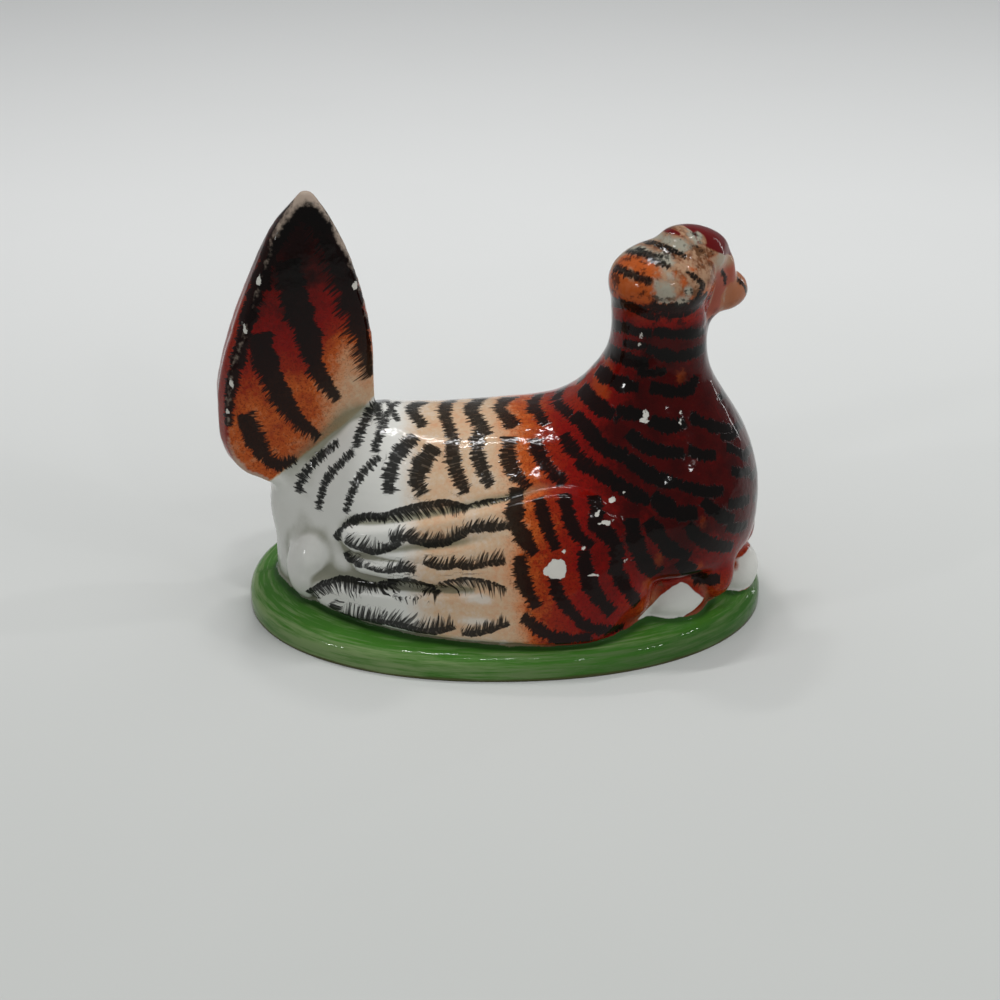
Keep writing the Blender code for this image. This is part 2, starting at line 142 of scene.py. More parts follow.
# Wing relief in side view: tip, root, half depth at the tip and at the root
WING_FEATHERS = (
    ((-24.6, 18.9), (6.0, 22.4), 2.9, 5.9),
    ((-23.4, 15.3), (6.0, 17.0), 2.2, 4.4),
    ((-29.6, 8.4), (6.0, 10.4), 3.3, 6.0),
)
WING_SHOULDER = ((9.0, 15.8), (16.6, 12.8))
WING_THICKNESS = 1.6
WING_EDGE = 1.8
WING_CREASES = (
    ((-26.2, 16.9), (-15.0, 19.6), (0.0, 22.2)),
    ((-23.6, 13.3), (-13.0, 13.9), (-2.0, 15.0)),
)
CREASE_DEPTH = 0.6
CREASE_WIDTH = 0.95

# Hollow of the casting and its vent under the base
WALL = 3.2
HOLLOW_FLOOR = 3.4
VENT_DIAMETER = 6.0
VENT_X = -16.0

# Fine skin
CLAY_GRID = 0.46
CLAY_SMOOTHING = 8
BLEND_ROUNDS = 86
NEST_BLEND = 0.12
TAIL_BLEND = 0.14
UNEVENNESS = 0.07

# Brush strokes by part of the bird, traced over the photograph: half width, hairs to the left,
# hairs to the right (mm) and the path (pixels)
STROKES = {
    'tail': (
        (1.7, 0.4, 0.7, ((287, 262), (292, 285), (297, 305), (309, 337), (314, 361), (324, 381),
          (337, 398))),
        (1.5, 0.3, 1.0, ((259, 335), (262, 350), (268, 366), (276, 385), (286, 403), (300, 421),
          (318, 436))),
        (1.1, 0.9, 0.5, ((244, 416), (250, 430), (257, 444), (267, 459), (280, 465), (295, 460))),
    ),
    'rump': (
        (0.45, 0.6, 0.5, ((383, 400), (371, 410), (362, 427), (356, 446))),
        (0.42, 0.6, 0.6, ((337, 443), (322, 455), (309, 468), (302, 479), (299, 491))),
        (0.42, 0.5, 0.6, ((352, 453), (340, 464), (328, 478), (322, 492), (319, 508))),
        (0.42, 0.5, 0.5, ((385, 420), (379, 436), (375, 450))),
        (0.38, 0.45, 0.5, ((378, 458), (362, 474), (352, 492), (346, 511))),
        (0.3, 0.5, 0.3, ((386, 401), (392, 410), (397, 420))),
    ),
    'back': (
        (0.81, 0.6, 0.6, ((414, 437), (397, 456), (390, 474), (389, 492))),
        (1.06, 0.6, 0.6, ((434, 448), (423, 462), (417, 480), (423, 492))),
        (0.81, 0.6, 0.6, ((452, 441), (453, 460), (459, 478), (465, 491))),
        (0.79, 0.6, 0.6, ((480, 430), (477, 450), (482, 468), (490, 485))),
        (0.92, 0.6, 0.6, ((510, 438), (508, 456), (514, 472), (526, 487))),
        (0.79, 0.6, 0.6, ((534, 440), (541, 458), (551, 470), (563, 482))),
        (0.73, 0.6, 0.6, ((564, 436), (573, 450), (585, 463), (603, 476))),
    ),
    'spine': (
        (0.66, 0.6, 0.6, ((424, 402), (413, 408), (415, 416), (422, 426))),
        (0.66, 0.6, 0.6, ((455, 398), (446, 406), (446, 418), (452, 431))),
        (0.79, 0.6, 0.6, ((483, 398), (471, 410), (476, 420), (487, 434))),
        (0.66, 0.6, 0.6, ((507, 397), (500, 408), (508, 416), (517, 424))),
        (0.66, 0.6, 0.6, ((508, 397), (504, 402), (500, 408))),
        (0.59, 0.6, 0.6, ((531, 400), (538, 412), (545, 424))),
        (0.59, 0.6, 0.6, ((556, 402), (567, 412), (579, 420), (590, 430))),
        (0.55, 0.6, 0.6, ((584, 388), (592, 402), (606, 414), (618, 418))),
    ),
    'coverts': (
        (1.01, 0.45, 0.45, ((517, 490), (515, 508), (516, 522), (524, 538), (534, 552))),
        (0.74, 0.45, 0.45, ((539, 499), (543, 514), (548, 530), (556, 548))),
        (0.81, 0.45, 0.45, ((564, 495), (569, 516), (576, 533), (590, 546))),
        (0.68, 0.45, 0.45, ((554, 578), (558, 594), (566, 606), (580, 620))),
        (0.81, 0.6, 0.6, ((520, 558), (522, 576), (528, 592), (536, 606))),
        (0.74, 0.45, 0.45, ((524, 617), (540, 630), (560, 639), (590, 637))),
        (0.61, 0.45, 0.45, ((578, 621), (595, 629), (622, 627))),
        (0.92, 0.45, 0.45, ((594, 497), (597, 510), (596, 525), (608, 535), (616, 546), (617, 558),
          (616, 570), (622, 581), (629, 592), (637, 603))),
        (1.05, 0.45, 0.45, ((632, 520), (633, 533), (638, 549), (646, 565), (654, 574))),
        (0.3, 0.3, 0.1, ((654, 574), (658, 571), (662, 568))),
        (0.94, 0.45, 0.45, ((584, 553), (586, 570), (592, 588), (601, 601), (611, 612))),
    ),
    'neck': (
        (0.76, 0.35, 0.35, ((611, 299), (622, 304), (634, 308), (645, 309))),
        (0.82, 0.35, 0.35, ((653, 306), (668, 309), (684, 308), (697, 303), (706, 296))),
        (0.69, 0.35, 0.35, ((611, 321), (622, 327), (636, 331), (650, 333))),
        (0.57, 0.35, 0.35, ((656, 331), (672, 334), (690, 334), (704, 331))),
        (0.95, 0.35, 0.35, ((602, 345), (612, 352), (624, 358), (636, 362), (646, 363))),
        (0.69, 0.35, 0.35, ((649, 349), (662, 354), (676, 357), (690, 354), (706, 345))),
        (0.95, 0.35, 0.35, ((598, 370), (609, 378), (622, 384), (636, 387))),
        (0.76, 0.35, 0.35, ((652, 387), (664, 390), (678, 392), (690, 388), (696, 378))),
        (1.07, 0.35, 0.35, ((582, 388), (591, 399), (601, 408), (612, 414))),
        (0.76, 0.35, 0.35, ((618, 410), (632, 414), (646, 415))),
        (0.88, 0.35, 0.35, ((652, 421), (662, 425), (674, 426), (684, 423))),
        (0.82, 0.35, 0.35, ((692, 418), (704, 423), (716, 427), (730, 429))),
        (0.95, 0.35, 0.35, ((574, 416), (584, 424), (594, 437), (603, 447), (613, 452), (625, 454))),
        (0.88, 0.35, 0.35, ((630, 434), (640, 443), (652, 449), (666, 452), (682, 453))),
        (0.76, 0.35, 0.35, ((690, 451), (702, 455), (714, 455))),
        (0.63, 0.35, 0.35, ((728, 447), (738, 452), (747, 458))),
        (0.76, 0.35, 0.35, ((578, 461), (588, 468), (598, 471))),
        (0.95, 0.35, 0.35, ((616, 452), (628, 459), (640, 468), (652, 476), (664, 481), (680, 484))),
        (0.76, 0.35, 0.35, ((680, 484), (694, 489), (708, 492), (722, 491))),
        (0.63, 0.35, 0.35, ((733, 471), (741, 473), (750, 470))),
        (0.95, 0.35, 0.35, ((598, 471), (608, 478), (620, 486), (634, 494), (648, 500))),
        (1.13, 0.35, 0.35, ((654, 497), (663, 505), (675, 512), (686, 514), (696, 513))),
        (0.88, 0.35, 0.35, ((704, 502), (712, 509), (722, 516), (733, 520))),
        (0.69, 0.35, 0.35, ((730, 504), (739, 503), (749, 499))),
        (0.88, 0.35, 0.35, ((688, 526), (696, 535), (706, 542), (718, 546), (732, 547))),
        (0.69, 0.35, 0.35, ((728, 527), (738, 528), (747, 524))),
        (1.01, 0.35, 0.35, ((649, 522), (656, 532), (664, 543), (674, 552), (688, 557))),
        (1.01, 0.35, 0.35, ((680, 562), (690, 571), (702, 577), (718, 579))),
        (0.5, 0.35, 0.35, ((722, 436), (730, 436), (738, 431))),
        (0.5, 0.35, 0.35, ((624, 343), (634, 345), (644, 346))),
        (0.5, 0.35, 0.35, ((640, 372), (652, 373), (664, 371))),
    ),
    'flight feathers': (
        (0.48, 0.2, 0.5, ((336, 537), (342, 529), (351, 522), (362, 517), (373, 516), (385, 518))),
        (0.49, 0.1, 1.5, ((384, 515), (392, 513), (404, 510), (420, 506), (434, 504), (450, 503),
          (467, 508))),
        (0.18, 0.1, 0.7, ((462, 508), (476, 503), (492, 500), (509, 498))),
        (0.43, 1.6, 0.1, ((346, 543), (357, 548), (375, 552), (388, 549), (399, 544))),
        (0.58, 1.2, 0.1, ((392, 540), (405, 538), (420, 542), (432, 543), (446, 542), (457, 537),
          (464, 533))),
        (0.52, 0.9, 0.2, ((466, 530), (480, 528), (496, 527), (511, 527))),
        (0.41, 1.0, 0.1, ((346, 554), (350, 560), (360, 565))),
        (0.22, 0.5, 0.1, ((366, 567), (378, 571), (388, 573))),
        (0.43, 0.9, 0.1, ((389, 571), (399, 569), (406, 569), (413, 571))),
        (0.43, 1.1, 0.1, ((425, 563), (435, 566), (446, 567), (456, 565), (470, 567), (481, 566))),
        (0.43, 1.4, 0.2, ((480, 565), (490, 563), (503, 562))),
        (0.48, 0.1, 2.0, ((309, 592), (316, 588), (325, 583), (341, 579), (357, 581), (369, 585))),
        (0.52, 0.1, 1.0, ((369, 585), (384, 585), (397, 580), (411, 581), (425, 584), (438, 592))),
        (0.22, 0.1, 1.5, ((440, 583), (462, 579), (478, 580), (492, 583), (505, 588))),
        (0.55, 1.9, 0.1, ((331, 606), (346, 615), (367, 621), (384, 622))),
        (0.55, 1.7, 0.1, ((384, 622), (403, 626), (420, 631), (437, 631), (453, 627))),
        (0.43, 1.2, 0.1, ((464, 634), (479, 633), (493, 629), (507, 624))),
    ),
    'head': (
        (0.6, 0.1, 0.1, ((611, 300), (623, 305), (637, 309), (650, 312))),
        (0.7, 0.1, 0.1, ((650, 306), (662, 312), (676, 314), (690, 311), (702, 303))),
        (0.45, 0.15, 0.25, ((654, 243), (662, 246), (672, 250), (684, 256))),
        (0.35, 0.5, 0.5, ((638, 248), (648, 256), (658, 262), (668, 266))),
        (0.35, 0.4, 0.4, ((614, 269), (626, 273), (638, 276), (650, 281))),
        (0.3, 0.3, 0.3, ((688, 272), (696, 278), (704, 285))),
        (0.45, 0.3, 0.3, ((702, 284), (701, 292), (696, 300))),
        (0.3, 0.2, 0.2, ((722, 271), (725, 277), (725, 283))),
        (0.35, 0.1, 0.1, ((738, 280), (743, 284), (746, 290), (746, 297))),
    ),
    'tail edge': (
        (1.9, 0.3, 1.7, ((313, 205), (327, 228), (340, 256), (350, 288), (359, 320), (366, 350),
          (371, 374))),
        (1.3, 0.5, 0.5, ((296, 206), (277, 235), (262, 272), (250, 305), (243, 337), (236, 365),
          (230, 393), (228, 424))),
    ),
}

# Bands across the breast, which the photograph doesn't show: reach to each side, height, sag in the middle
BREAST_BANDS = (
    (7.5, 33.6, 1.2), (9.0, 29.8, 1.6), (9.5, 26.0, 1.6),
    (10.0, 22.2, 1.8), (9.0, 18.0, 1.6), (4.6, 38.2, 0.8),
)
BREAST_BAND_HALF = 0.5
BREAST_BAND_HAIRS = 0.2

# The crown of the rear egg under the rump
RUMP_EGG = (-32.3, -12.6, 14.6)
RUMP_EGG_RADIUS = 4.2
RUMP_EGG_HEIGHT = 0.9

# How each group is brushed: dryness, forward lean of the hairs, swell at the start and the end, roughness
BRUSHES = {
    'tail': (0.0, 0.3, 1.20, 0.30, 0.60),
    'rump': (0.30, 0.0, 1.00, 0.90, 0.12),
    'back': (0.10, 0.0, 0.95, 0.75, 0.15),
    'spine': (0.10, 0.0, 0.95, 0.75, 0.15),
    'coverts': (0.0, 0.0, 0.95, 0.80, 0.35),
    'neck': (0.0, 0.0, 0.95, 0.80, 0.35),
    'flight feathers': (0.10, 0.55, 0.90, 0.90, 0.08),
    'head': (0.25, 0.0, 0.80, 0.70, 0.80),
    'tail edge': (0.0, 0.4, 1.15, 0.30, 0.50),
    'breast': (0.0, 0.0, 1.05, 1.05, 0.40),
}
STROKE_REACH = 4.4

# Small patches of one paint: (seen from, middle, half sizes); 'head' places are (ahead of the pivot, height)
DABS = {
    'pale': (
        ('side', (-5.3, 13.2), (2.5, 0.9)), ('side', (-5.6, 9.6), (2.8, 0.9)),
        ('side', (-4.8, 5.9), (5.3, 0.7)), ('head', (-7.7, 58.1), (1.5, 2.2)),
        ('head', (-5.6, 56.5), (1.7, 1.1)), ('head', (-6.6, 60.7), (0.8, 1.3)),
        ('head', (-4.4, 58.2), (0.8, 1.0)), ('head', (5.6, 60.5), (2.0, 1.4)),
        ('head', (-2.0, 63.9), (1.8, 1.1)), ('head', (1.2, 64.5), (1.6, 1.1)),
        ('head', (-5.5, 62.3), (1.3, 0.9)), ('head', (7.7, 52.9), (0.4, 2.5)),
    ),
    'dark': (
        ('head', (-7.0, 57.2), (0.9, 0.6)), ('head', (-2.8, 57.6), (1.1, 1.8)),
        ('head', (0.5, 62.6), (1.4, 0.9)), ('head', (6.7, 57.2), (0.9, 0.7)),
        ('side', (25.0, 10.6), (0.4, 0.9)), ('head', (14.6, 54.5), (1.2, 2.2)),
    ),
    'orange': (
        ('head', (-5.0, 59.8), (0.9, 0.6)), ('head', (-8.7, 61.3), (2.1, 1.4)),
        ('head', (-10.9, 58.2), (3.0, 1.9)), ('head', (-6.5, 60.6), (1.4, 0.6)),
        ('head', (-5.1, 59.5), (0.9, 0.9)), ('head', (-3.0, 61.0), (1.3, 0.8)),
        ('head', (4.1, 58.8), (1.2, 1.3)), ('side', (18.6, 48.6), (1.0, 0.7)),
        ('side', (16.5, 43.9), (1.0, 1.1)), ('side', (15.5, 40.7), (1.5, 1.3)),
        ('side', (27.7, 43.9), (1.0, 1.2)), ('side', (24.0, 18.2), (0.7, 1.6)),
        ('side', (30.8, 15.4), (0.8, 0.9)), ('side', (30.9, 23.5), (0.6, 1.0)),
        ('side', (22.4, 12.7), (1.3, 1.4)),
    ),
}

# Bare glaze of the eggs under the breast
EGG_WHITES = (
    ('side', (
        (21.0, 5.6), (22.8, 6.9), (24.9, 9.2), (26.8, 10.5), (28.3, 11.0), (29.5, 10.4),
        (30.9, 8.9), (32.6, 7.0), (31.1, 6.0), (28.8, 5.0), (27.2, 4.4),
    )),
    ('front', (
        (-3.6, 4.5), (-3.4, 9.0), (-5.0, 11.0), (-7.4, 11.3), (-9.4, 10.6), (-10.6, 8.0),
        (-10.6, 4.5),
    )),
)

# Lower edge of the comb's red: (distance ahead of the pivot, height)
COMB_EDGE = ((-3.0, 65.4), (-1.0, 64.6), (1.4, 63.4), (4.4, 61.6), (10.1, 59.2))

# Where the comb's red has worn through
COMB_WORN = (('head', (0.2, 65.4), (0.9, 1.9)), ('head', (2.2, 64.2), (0.7, 0.8)))

# Warmth of the tail's enamel by height
TAIL_WARMTH = (
    (24.0, 0.50), (31.0, 0.50), (38.0, 0.53), (43.0, 0.60),
    (47.0, 0.72), (52.0, 0.84), (60.0, 0.92), (70.0, 0.96),
)

# Chips down to the white body: half sizes and place seen from the side
CHIPS = (
    ((1.9, 1.5), (7.2, 18.0)), ((0.4, 0.4), (8.5, 20.6)), ((0.45, 0.4), (11.7, 21.0)),
    ((0.5, 0.6), (14.0, 25.8)), ((1.0, 0.35), (14.8, 24.3)), ((0.45, 0.35), (18.5, 17.9)),
    ((0.7, 0.2), (13.1, 16.7)), ((0.6, 1.0), (22.1, 38.4)), ((0.9, 0.4), (21.6, 37.6)),
    ((0.3, 0.8), (27.8, 37.6)), ((0.4, 0.8), (21.2, 49.6)), ((0.6, 0.45), (16.2, 27.0)),
    ((0.35, 0.3), (18.0, 28.2)), ((0.5, 0.9), (-38.9, 59.2)), ((0.4, 0.7), (-41.5, 51.8)),
    ((0.5, 0.9), (-44.1, 42.9)), ((0.4, 0.8), (-45.1, 38.0)), ((0.4, 0.6), (-24.0, 56.9)),
)

# Lamps: name, place, size and brightness of the face
LAMPS = (
    ('ceiling', (0.0, 0.15, 0.95), (0.9, 0.9), 1.05),
    ('skylight', (-0.05, 0.15, 0.60), (0.17, 0.014), 110.0),
    ('skylight front', (0.0, -0.16, 0.60), (0.06, 0.014), 150.0),
    ('skylight over wing', (-0.10, 0.27, 0.60), (0.06, 0.016), 120.0),
    ('lamp over wing', (0.36, -0.28, 0.38), (0.02, 0.02), 80.0),
    ('window behind', (0.55, 0.38, 0.12), (0.02, 0.34), 9.0),
    ('room right', (0.70, -0.35, 0.38), (0.45, 0.45), 2.0),
    ('lamp left', (-0.45, -0.25, 0.27), (0.025, 0.025), 100.0),
    ('lamp front', (0.20, -0.45, 0.37), (0.02, 0.02), 80.0),
    ('lamp right', (0.36, 0.06, 0.52), (0.025, 0.025), 100.0),
)


def smooth_curve(stations, at):
    """Monotone cubic through the stations: first column is the place, the rest are values."""
    table = np.array(stations, dtype=float)
    x = table[:, 0]
    at = np.clip(np.asarray(at, dtype=float), x[0], x[-1])
    gap = np.diff(x)
    out = []
    for col in range(1, table.shape[1]):
        y = table[:, col]
        rise = np.diff(y) / gap
        slope = np.zeros(len(x))
        slope[0], slope[-1] = rise[0], rise[-1]
        for i in range(1, len(x) - 1):
            if rise[i - 1] * rise[i] > 0:
                slope[i] = 2 * rise[i - 1] * rise[i] / (rise[i - 1] + rise[i])
        i = np.clip(np.searchsorted(x, at) - 1, 0, len(x) - 2)
        t = (at - x[i]) / gap[i]
        h = gap[i]
        out.append(y[i] * (1 + 2 * t) * (1 - t) ** 2 + slope[i] * h * t * (1 - t) ** 2
                   + y[i + 1] * t * t * (3 - 2 * t) + slope[i + 1] * h * t * t * (t - 1))
    return out


def soft_step(value, low, high):
    t = np.clip((value - low) / (high - low), 0, 1)
    return t * t * (3 - 2 * t)


def mesh_object(name, points, faces):
    mesh = bpy.data.meshes.new(name)
    mesh.from_pydata([tuple(map(float, p)) for p in points], [], faces)
    mesh.update()
    ob = bpy.data.objects.new(name, mesh)
    bpy.context.scene.collection.objects.link(ob)
    return ob


def loft_data(rings):
    """Closed skin through rings of equal count, with flat ends."""
    count = len(rings[0])
    faces = []
    for i in range(len(rings) - 1):
        low, high = i * count, (i + 1) * count
        for j in range(count):
            k = (j + 1) % count
            faces.append((low + j, low + k, high + k, high + j))
    faces.append(tuple(reversed(range(count))))
    last = (len(rings) - 1) * count
    faces.append(tuple(range(last, last + count)))
    return np.vstack(rings), faces


def ellipsoid_data(centre, radii, yaw=0.0, pitch=0.0, around=40, up=26):
    turn = np.array(Matrix.Rotation(radians(yaw), 3, 'Z') @ Matrix.Rotation(radians(pitch), 3, 'Y'))
    rings = []
    for i in range(up + 1):
        lat = -pi / 2 + pi * (0.02 + 0.96 * i / up)
        lon = 2 * pi * np.arange(around) / around
        ring = np.stack([radii[0] * cos(lat) * np.cos(lon), radii[1] * cos(lat) * np.sin(lon),
                         np.full(around, radii[2] * sin(lat))], -1)
        rings.append(ring @ turn.T + np.array(centre))
    return loft_data(rings)


def oval(a, b, power, count, z):
    t = 2 * pi * np.arange(count) / count
    c, s = np.cos(t), np.sin(t)
    return np.stack([a * np.sign(c) * np.abs(c) ** (2 / power),
                     b * np.sign(s) * np.abs(s) ** (2 / power), np.full(count, float(z))], -1)


def base_clay():
    """Oval slab with a rounded shoulder and a top that rises to the nest."""
    a, b = BASE_LENGTH / 2, BASE_WIDTH / 2
    rings = [oval(a, b, BASE_SQUARENESS, 160, z) for z in (-2.0, BASE_RIM - BASE_SHOULDER)]
    for i in range(1, 9):
        t = pi / 2 * i / 8
        inset = BASE_SHOULDER * (1 - cos(t))
        rings.append(oval(a - inset, b - inset, BASE_SQUARENESS, 160,
                          BASE_RIM - BASE_SHOULDER * (1 - sin(t))))
    for i in range(1, 8):
        inset = BASE_SHOULDER + 11.0 * i / 7
        rings.append(oval(a - inset, b - inset, BASE_SQUARENESS, 160,
                          BASE_RIM + BASE_CROWN * (1 - (1 - i / 7) ** 2)))
    return loft_data(rings)


def body_clay():
    """Dome with half-oval sections standing across the base."""
    middle, half = (BODY_FRONT + BODY_REAR) / 2, (BODY_FRONT - BODY_REAR) / 2
    t = 2 * pi * np.arange(96) / 96
    rings = []
    for i in range(91):
        x = middle - half * 0.998 * cos(pi * i / 90)
        width, top = [float(v) for v in smooth_curve(BODY_STATIONS, x)]
        end = (1 - min(0.9999, abs((x - middle) / half)) ** BODY_END_POWER) ** (1 / BODY_END_POWER)
        low = 2.0
        height = (top - low) * end
        lift = np.where(np.sin(t) > 0, height * np.abs(np.sin(t)) ** 0.96, 1.5 * np.sin(t))
        rings.append(np.stack([np.full(96, x), -max(width, 0.4) * np.cos(t), low + lift], -1))
    points, faces = loft_data(rings)
    return points, [tuple(reversed(f)) for f in faces]


def neck_clay():
    """Breast and neck from level oval sections."""
    low, high = NECK_STATIONS[0][0], NECK_STATIONS[-1][0]
    rings = []
    for i in range(71):
        z = low + (high - low) * i / 70
        front, nape, half = [float(v) for v in smooth_curve(NECK_STATIONS, z)]
        ring = oval((front - nape) / 2, half, 2.1, 96, z)
        ring[:, 0] += (front + nape) / 2
        rings.append(ring)
    return loft_data(rings)


def tail_clay():
    """Upright leaf: a thin front edge, flat flanks and a grooved, rounded back."""
    rings = []
    flank, back = 20, 40
    low, high = TAIL_STATIONS[0][0], TAIL_STATIONS[-1][0]
    for i in range(101):
        z = low + (high - low) * i / 100
        front, ridge, rear, half = [float(v) for v in smooth_curve(TAIL_STATIONS, z)]
        small = min(1.0, half / 4)
        near = []
        for j in range(flank):
            t = j / flank
            edge = TAIL_EDGE * min(1.0, half / 2) * min(1.0, j)
            near.append((front + (ridge - front) * t,
                         edge + (half - edge) * t ** 0.9 + 0.55 * sin(pi * t) * small))
        for j in range(back + 1):
            angle = pi / 2 * j / back
            dip = TAIL_GROOVE * (1 - abs(sin(TAIL_FEATHERS * angle))) * small
            near.append((ridge + (rear - ridge) * sin(angle) + dip, half * cos(angle)))
        ring = [(x, -y, z) for x, y in near] + [(x, y, z) for x, y in reversed(near[1:-1])]
        rings.append(np.array(ring))
    points, faces = loft_data(rings)
    return points, [tuple(reversed(f)) for f in faces]


def paired_clay():
    parts = []
    for (x, y, z), radii, yaw in EGGS + BREAST_LOBES:
        for side in (-1, 1) if y else (1,):
            parts.append(ellipsoid_data((x, side * y, z), radii, side * yaw))
    return parts


def joined(name, parts):
    points, faces, start = [], [], 0
    for part_points, part_faces in parts:
        points.append(np.asarray(part_points))
        faces += [tuple(start + i for i in face) for face in part_faces]
        start += len(part_points)
    return mesh_object(name, np.vstack(points), faces)


def apply_modifiers(ob):
    graph = bpy.context.evaluated_depsgraph_get()
    graph.update()
    mesh = bpy.data.meshes.new_from_object(ob.evaluated_get(graph))
    ob.modifiers.clear()
    old = ob.data
    ob.data = mesh
    bpy.data.meshes.remove(old)


def arrays(mesh):
    points = np.empty(len(mesh.vertices) * 3)
    mesh.vertices.foreach_get('co', points)
    edges = np.empty(len(mesh.edges) * 2, dtype=np.int64)
    mesh.edges.foreach_get('vertices', edges)
    normals = np.empty(len(mesh.vertices) * 3)
    mesh.vertices.foreach_get('normal', normals)
    return points.reshape(-1, 3), edges.reshape(-1, 2), normals.reshape(-1, 3)


def set_points(mesh, points):
    mesh.vertices.foreach_set('co', points.ravel())
    mesh.update()


def pulled(points, edges, degree, amount):
    """Moves each point towards the middle of its neighbours by the amount."""
    a, b = edges[:, 0], edges[:, 1]
    total = np.empty_like(points)
    for axis in range(3):
        total[:, axis] = (np.bincount(a, points[b, axis], len(points))
                          + np.bincount(b, points[a, axis], len(points)))
    return points + amount * (total / degree[:, None] - points)


def smoothed(points, edges, rounds):
    degree = np.bincount(edges.ravel(), minlength=len(points))
    for _ in range(rounds):
        points = pulled(points, edges, degree, 0.55)
        points = pulled(points, edges, degree, -0.56)
    return points


def blended(points, edges, weight, rounds):
    degree = np.bincount(edges.ravel(), minlength=len(points))
    for _ in range(rounds):
        points = pulled(points, edges, degree, 0.5 * weight[:, None])
    return points


def feather_depth(x, z, tip, root, tip_half, root_half):
    dx, dz = root[0] - tip[0], root[1] - tip[1]
    t = np.clip(((x - tip[0]) * dx + (z - tip[1]) * dz) / (dx * dx + dz * dz), 0, 1)
    away = np.hypot(x - tip[0] - t * dx, z - tip[1] - t * dz)
    return tip_half + (root_half - tip_half) * t - away


def line_distance(x, z, line):
    away = np.full(len(x), 1e9)
    for (ax, az), (bx, bz) in zip(line[:-1], line[1:]):
        dx, dz = bx - ax, bz - az
        t = np.clip(((x - ax) * dx + (z - az) * dz) / (dx * dx + dz * dz), 0, 1)
        away = np.minimum(away, np.hypot(x - ax - t * dx, z - az - t * dz))
    return away


def head_frame(points):
    """Places in the turned head: ahead of the pivot, out to the side, and height."""
    c, s = cos(radians(HEAD_YAW)), sin(radians(HEAD_YAW))
    x, y = points[:, 0] - HEAD_PIVOT[0], points[:, 1] - HEAD_PIVOT[1]
    return x * c + y * s, np.abs(y * c - x * s), points[:, 2]


def blend_weight(points):
    """Full over the body and lower neck, slight on the head, none on the tail, the nest and the base."""
    x, z = points[:, 0], points[:, 2]
    ahead = head_frame(points)[0]
    beak = soft_step(ahead, 7.0, 11.0) * soft_step(z, 46.0, 50.0)
    head = soft_step(z, 45.0, 50.0) * soft_step(x, 0.0, 5.0) * (HEAD_BLEND * (1 - beak) + BEAK_BLEND * beak)
    throat = soft_step(ahead, 1.5, 4.0) * soft_step(z, 41.0, 44.0) * (1 - soft_step(z, 50.0, 53.0))
    blade = soft_step(z - 24.5 - 0.62 * (x + 39.0), -2.0, 2.5) * (1 - soft_step(x, -21.5, -19.0))
    under_tail = soft_step(-x, 36.0, 41.0) * soft_step(z, 20.0, 24.0)
    nest = (1 - soft_step(z, 10.0, 17.0)) * np.maximum(soft_step(x, 14.0, 20.0), soft_step(-x, 22.0, 27.0))
    nest = nest * (1 - NEST_BLEND)
    low = soft_step(z, 7.0, 11.0) * (1 - soft_step(z, 46.0, 52.0))
    body = low * (1 - blade) * (1 - under_tail) * (1 - nest)
    tail = TAIL_BLEND * blade * (1 - soft_step(x, -19.0, -16.0))
    return np.maximum(body, tail) + np.maximum(head, THROAT_BLEND * throat * (1 - beak))


def head_relief(points):
    """Face set back behind the cheek's rim, and a bead for each eye."""
    ahead, out, height = head_frame(points)
    heights, rim = np.array(CHEEK_RIM).T
    past = ahead - np.interp(height, heights, rim)
    near = soft_step(height, heights[0], 53.0) * (1 - soft_step(height, 57.5, 61.0))
    near = near * soft_step(out, 1.5, 3.5) * (1 - soft_step(ahead, 7.5, 10.5))
    step = -CHEEK_STEP * soft_step(past, -0.35, 0.35) * near
    eye = np.sqrt((ahead - EYE[0]) ** 2 + (out - EYE[1]) ** 2 + (height - EYE[2]) ** 2)
    return step + EYE_HEIGHT * (1 - soft_step(eye, 0.3 * EYE_RADIUS, 1.5 * EYE_RADIUS))


def wing_relief(points):
    x, y, z = points.T
    (cx, cz), (rx, rz) = WING_SHOULDER
    inside = (1 - np.hypot((x - cx) / rx, (z - cz) / rz)) * min(rx, rz)
    for feather in WING_FEATHERS:
        inside = np.maximum(inside, feather_depth(x, z, *feather))
    rear = 1 - soft_step(x, 12.0, 24.0)
    lift = WING_THICKNESS * soft_step(inside, 0.0, WING_EDGE + 4.0 * (1 - rear)) * (0.35 + 0.65 * rear)
    fade = soft_step(-x, 0.0, 10.0) * soft_step(inside, -0.5, 1.0)
    for line in WING_CREASES:
        lift = lift - CREASE_DEPTH * fade * np.exp(-(line_distance(x, z, line) / CREASE_WIDTH) ** 2)
    return lift * soft_step(np.abs(y), 5.0, 8.0) * soft_step(z, 4.4, 5.6)


def hollow_data():
    """Inner skin of the casting, as in the frame's solid."""
    rings = []
    low, high = HOLLOW_FLOOR, 50.0
    for i in range(23):
        z = low + (high - low) * i / 22
        front, nape, half = [float(v) for v in smooth_curve(NECK_STATIONS, z)]
        wall = WALL * 1.25
        neck_rear, neck_front, neck_half = nape + wall, front - wall, half - wall
        s = min(1.0, max(0.0, (z - 2.0) / 28.4))
        round_in = (1 - s ** 2.3) ** 0.5
        merge = float(soft_step(np.array(z), 26.0, 36.0))
        rear = (1 - merge) * (-30.5 * round_in + 2.0 * (1 - round_in)) + merge * neck_rear
        rear = min(rear, neck_rear)
        half_y = (1 - merge) * max(neck_half, 22.0 * round_in) + merge * neck_half
        if z < 12.0:
            neck_front = min(neck_front, 31.5 + 0.5 * (z - low))
        ring = oval((neck_front - rear) / 2, half_y, 2.0, 40, z)
        ring[:, 0] += (neck_front + rear) / 2
        rings.append(ring)
    return loft_data(rings)


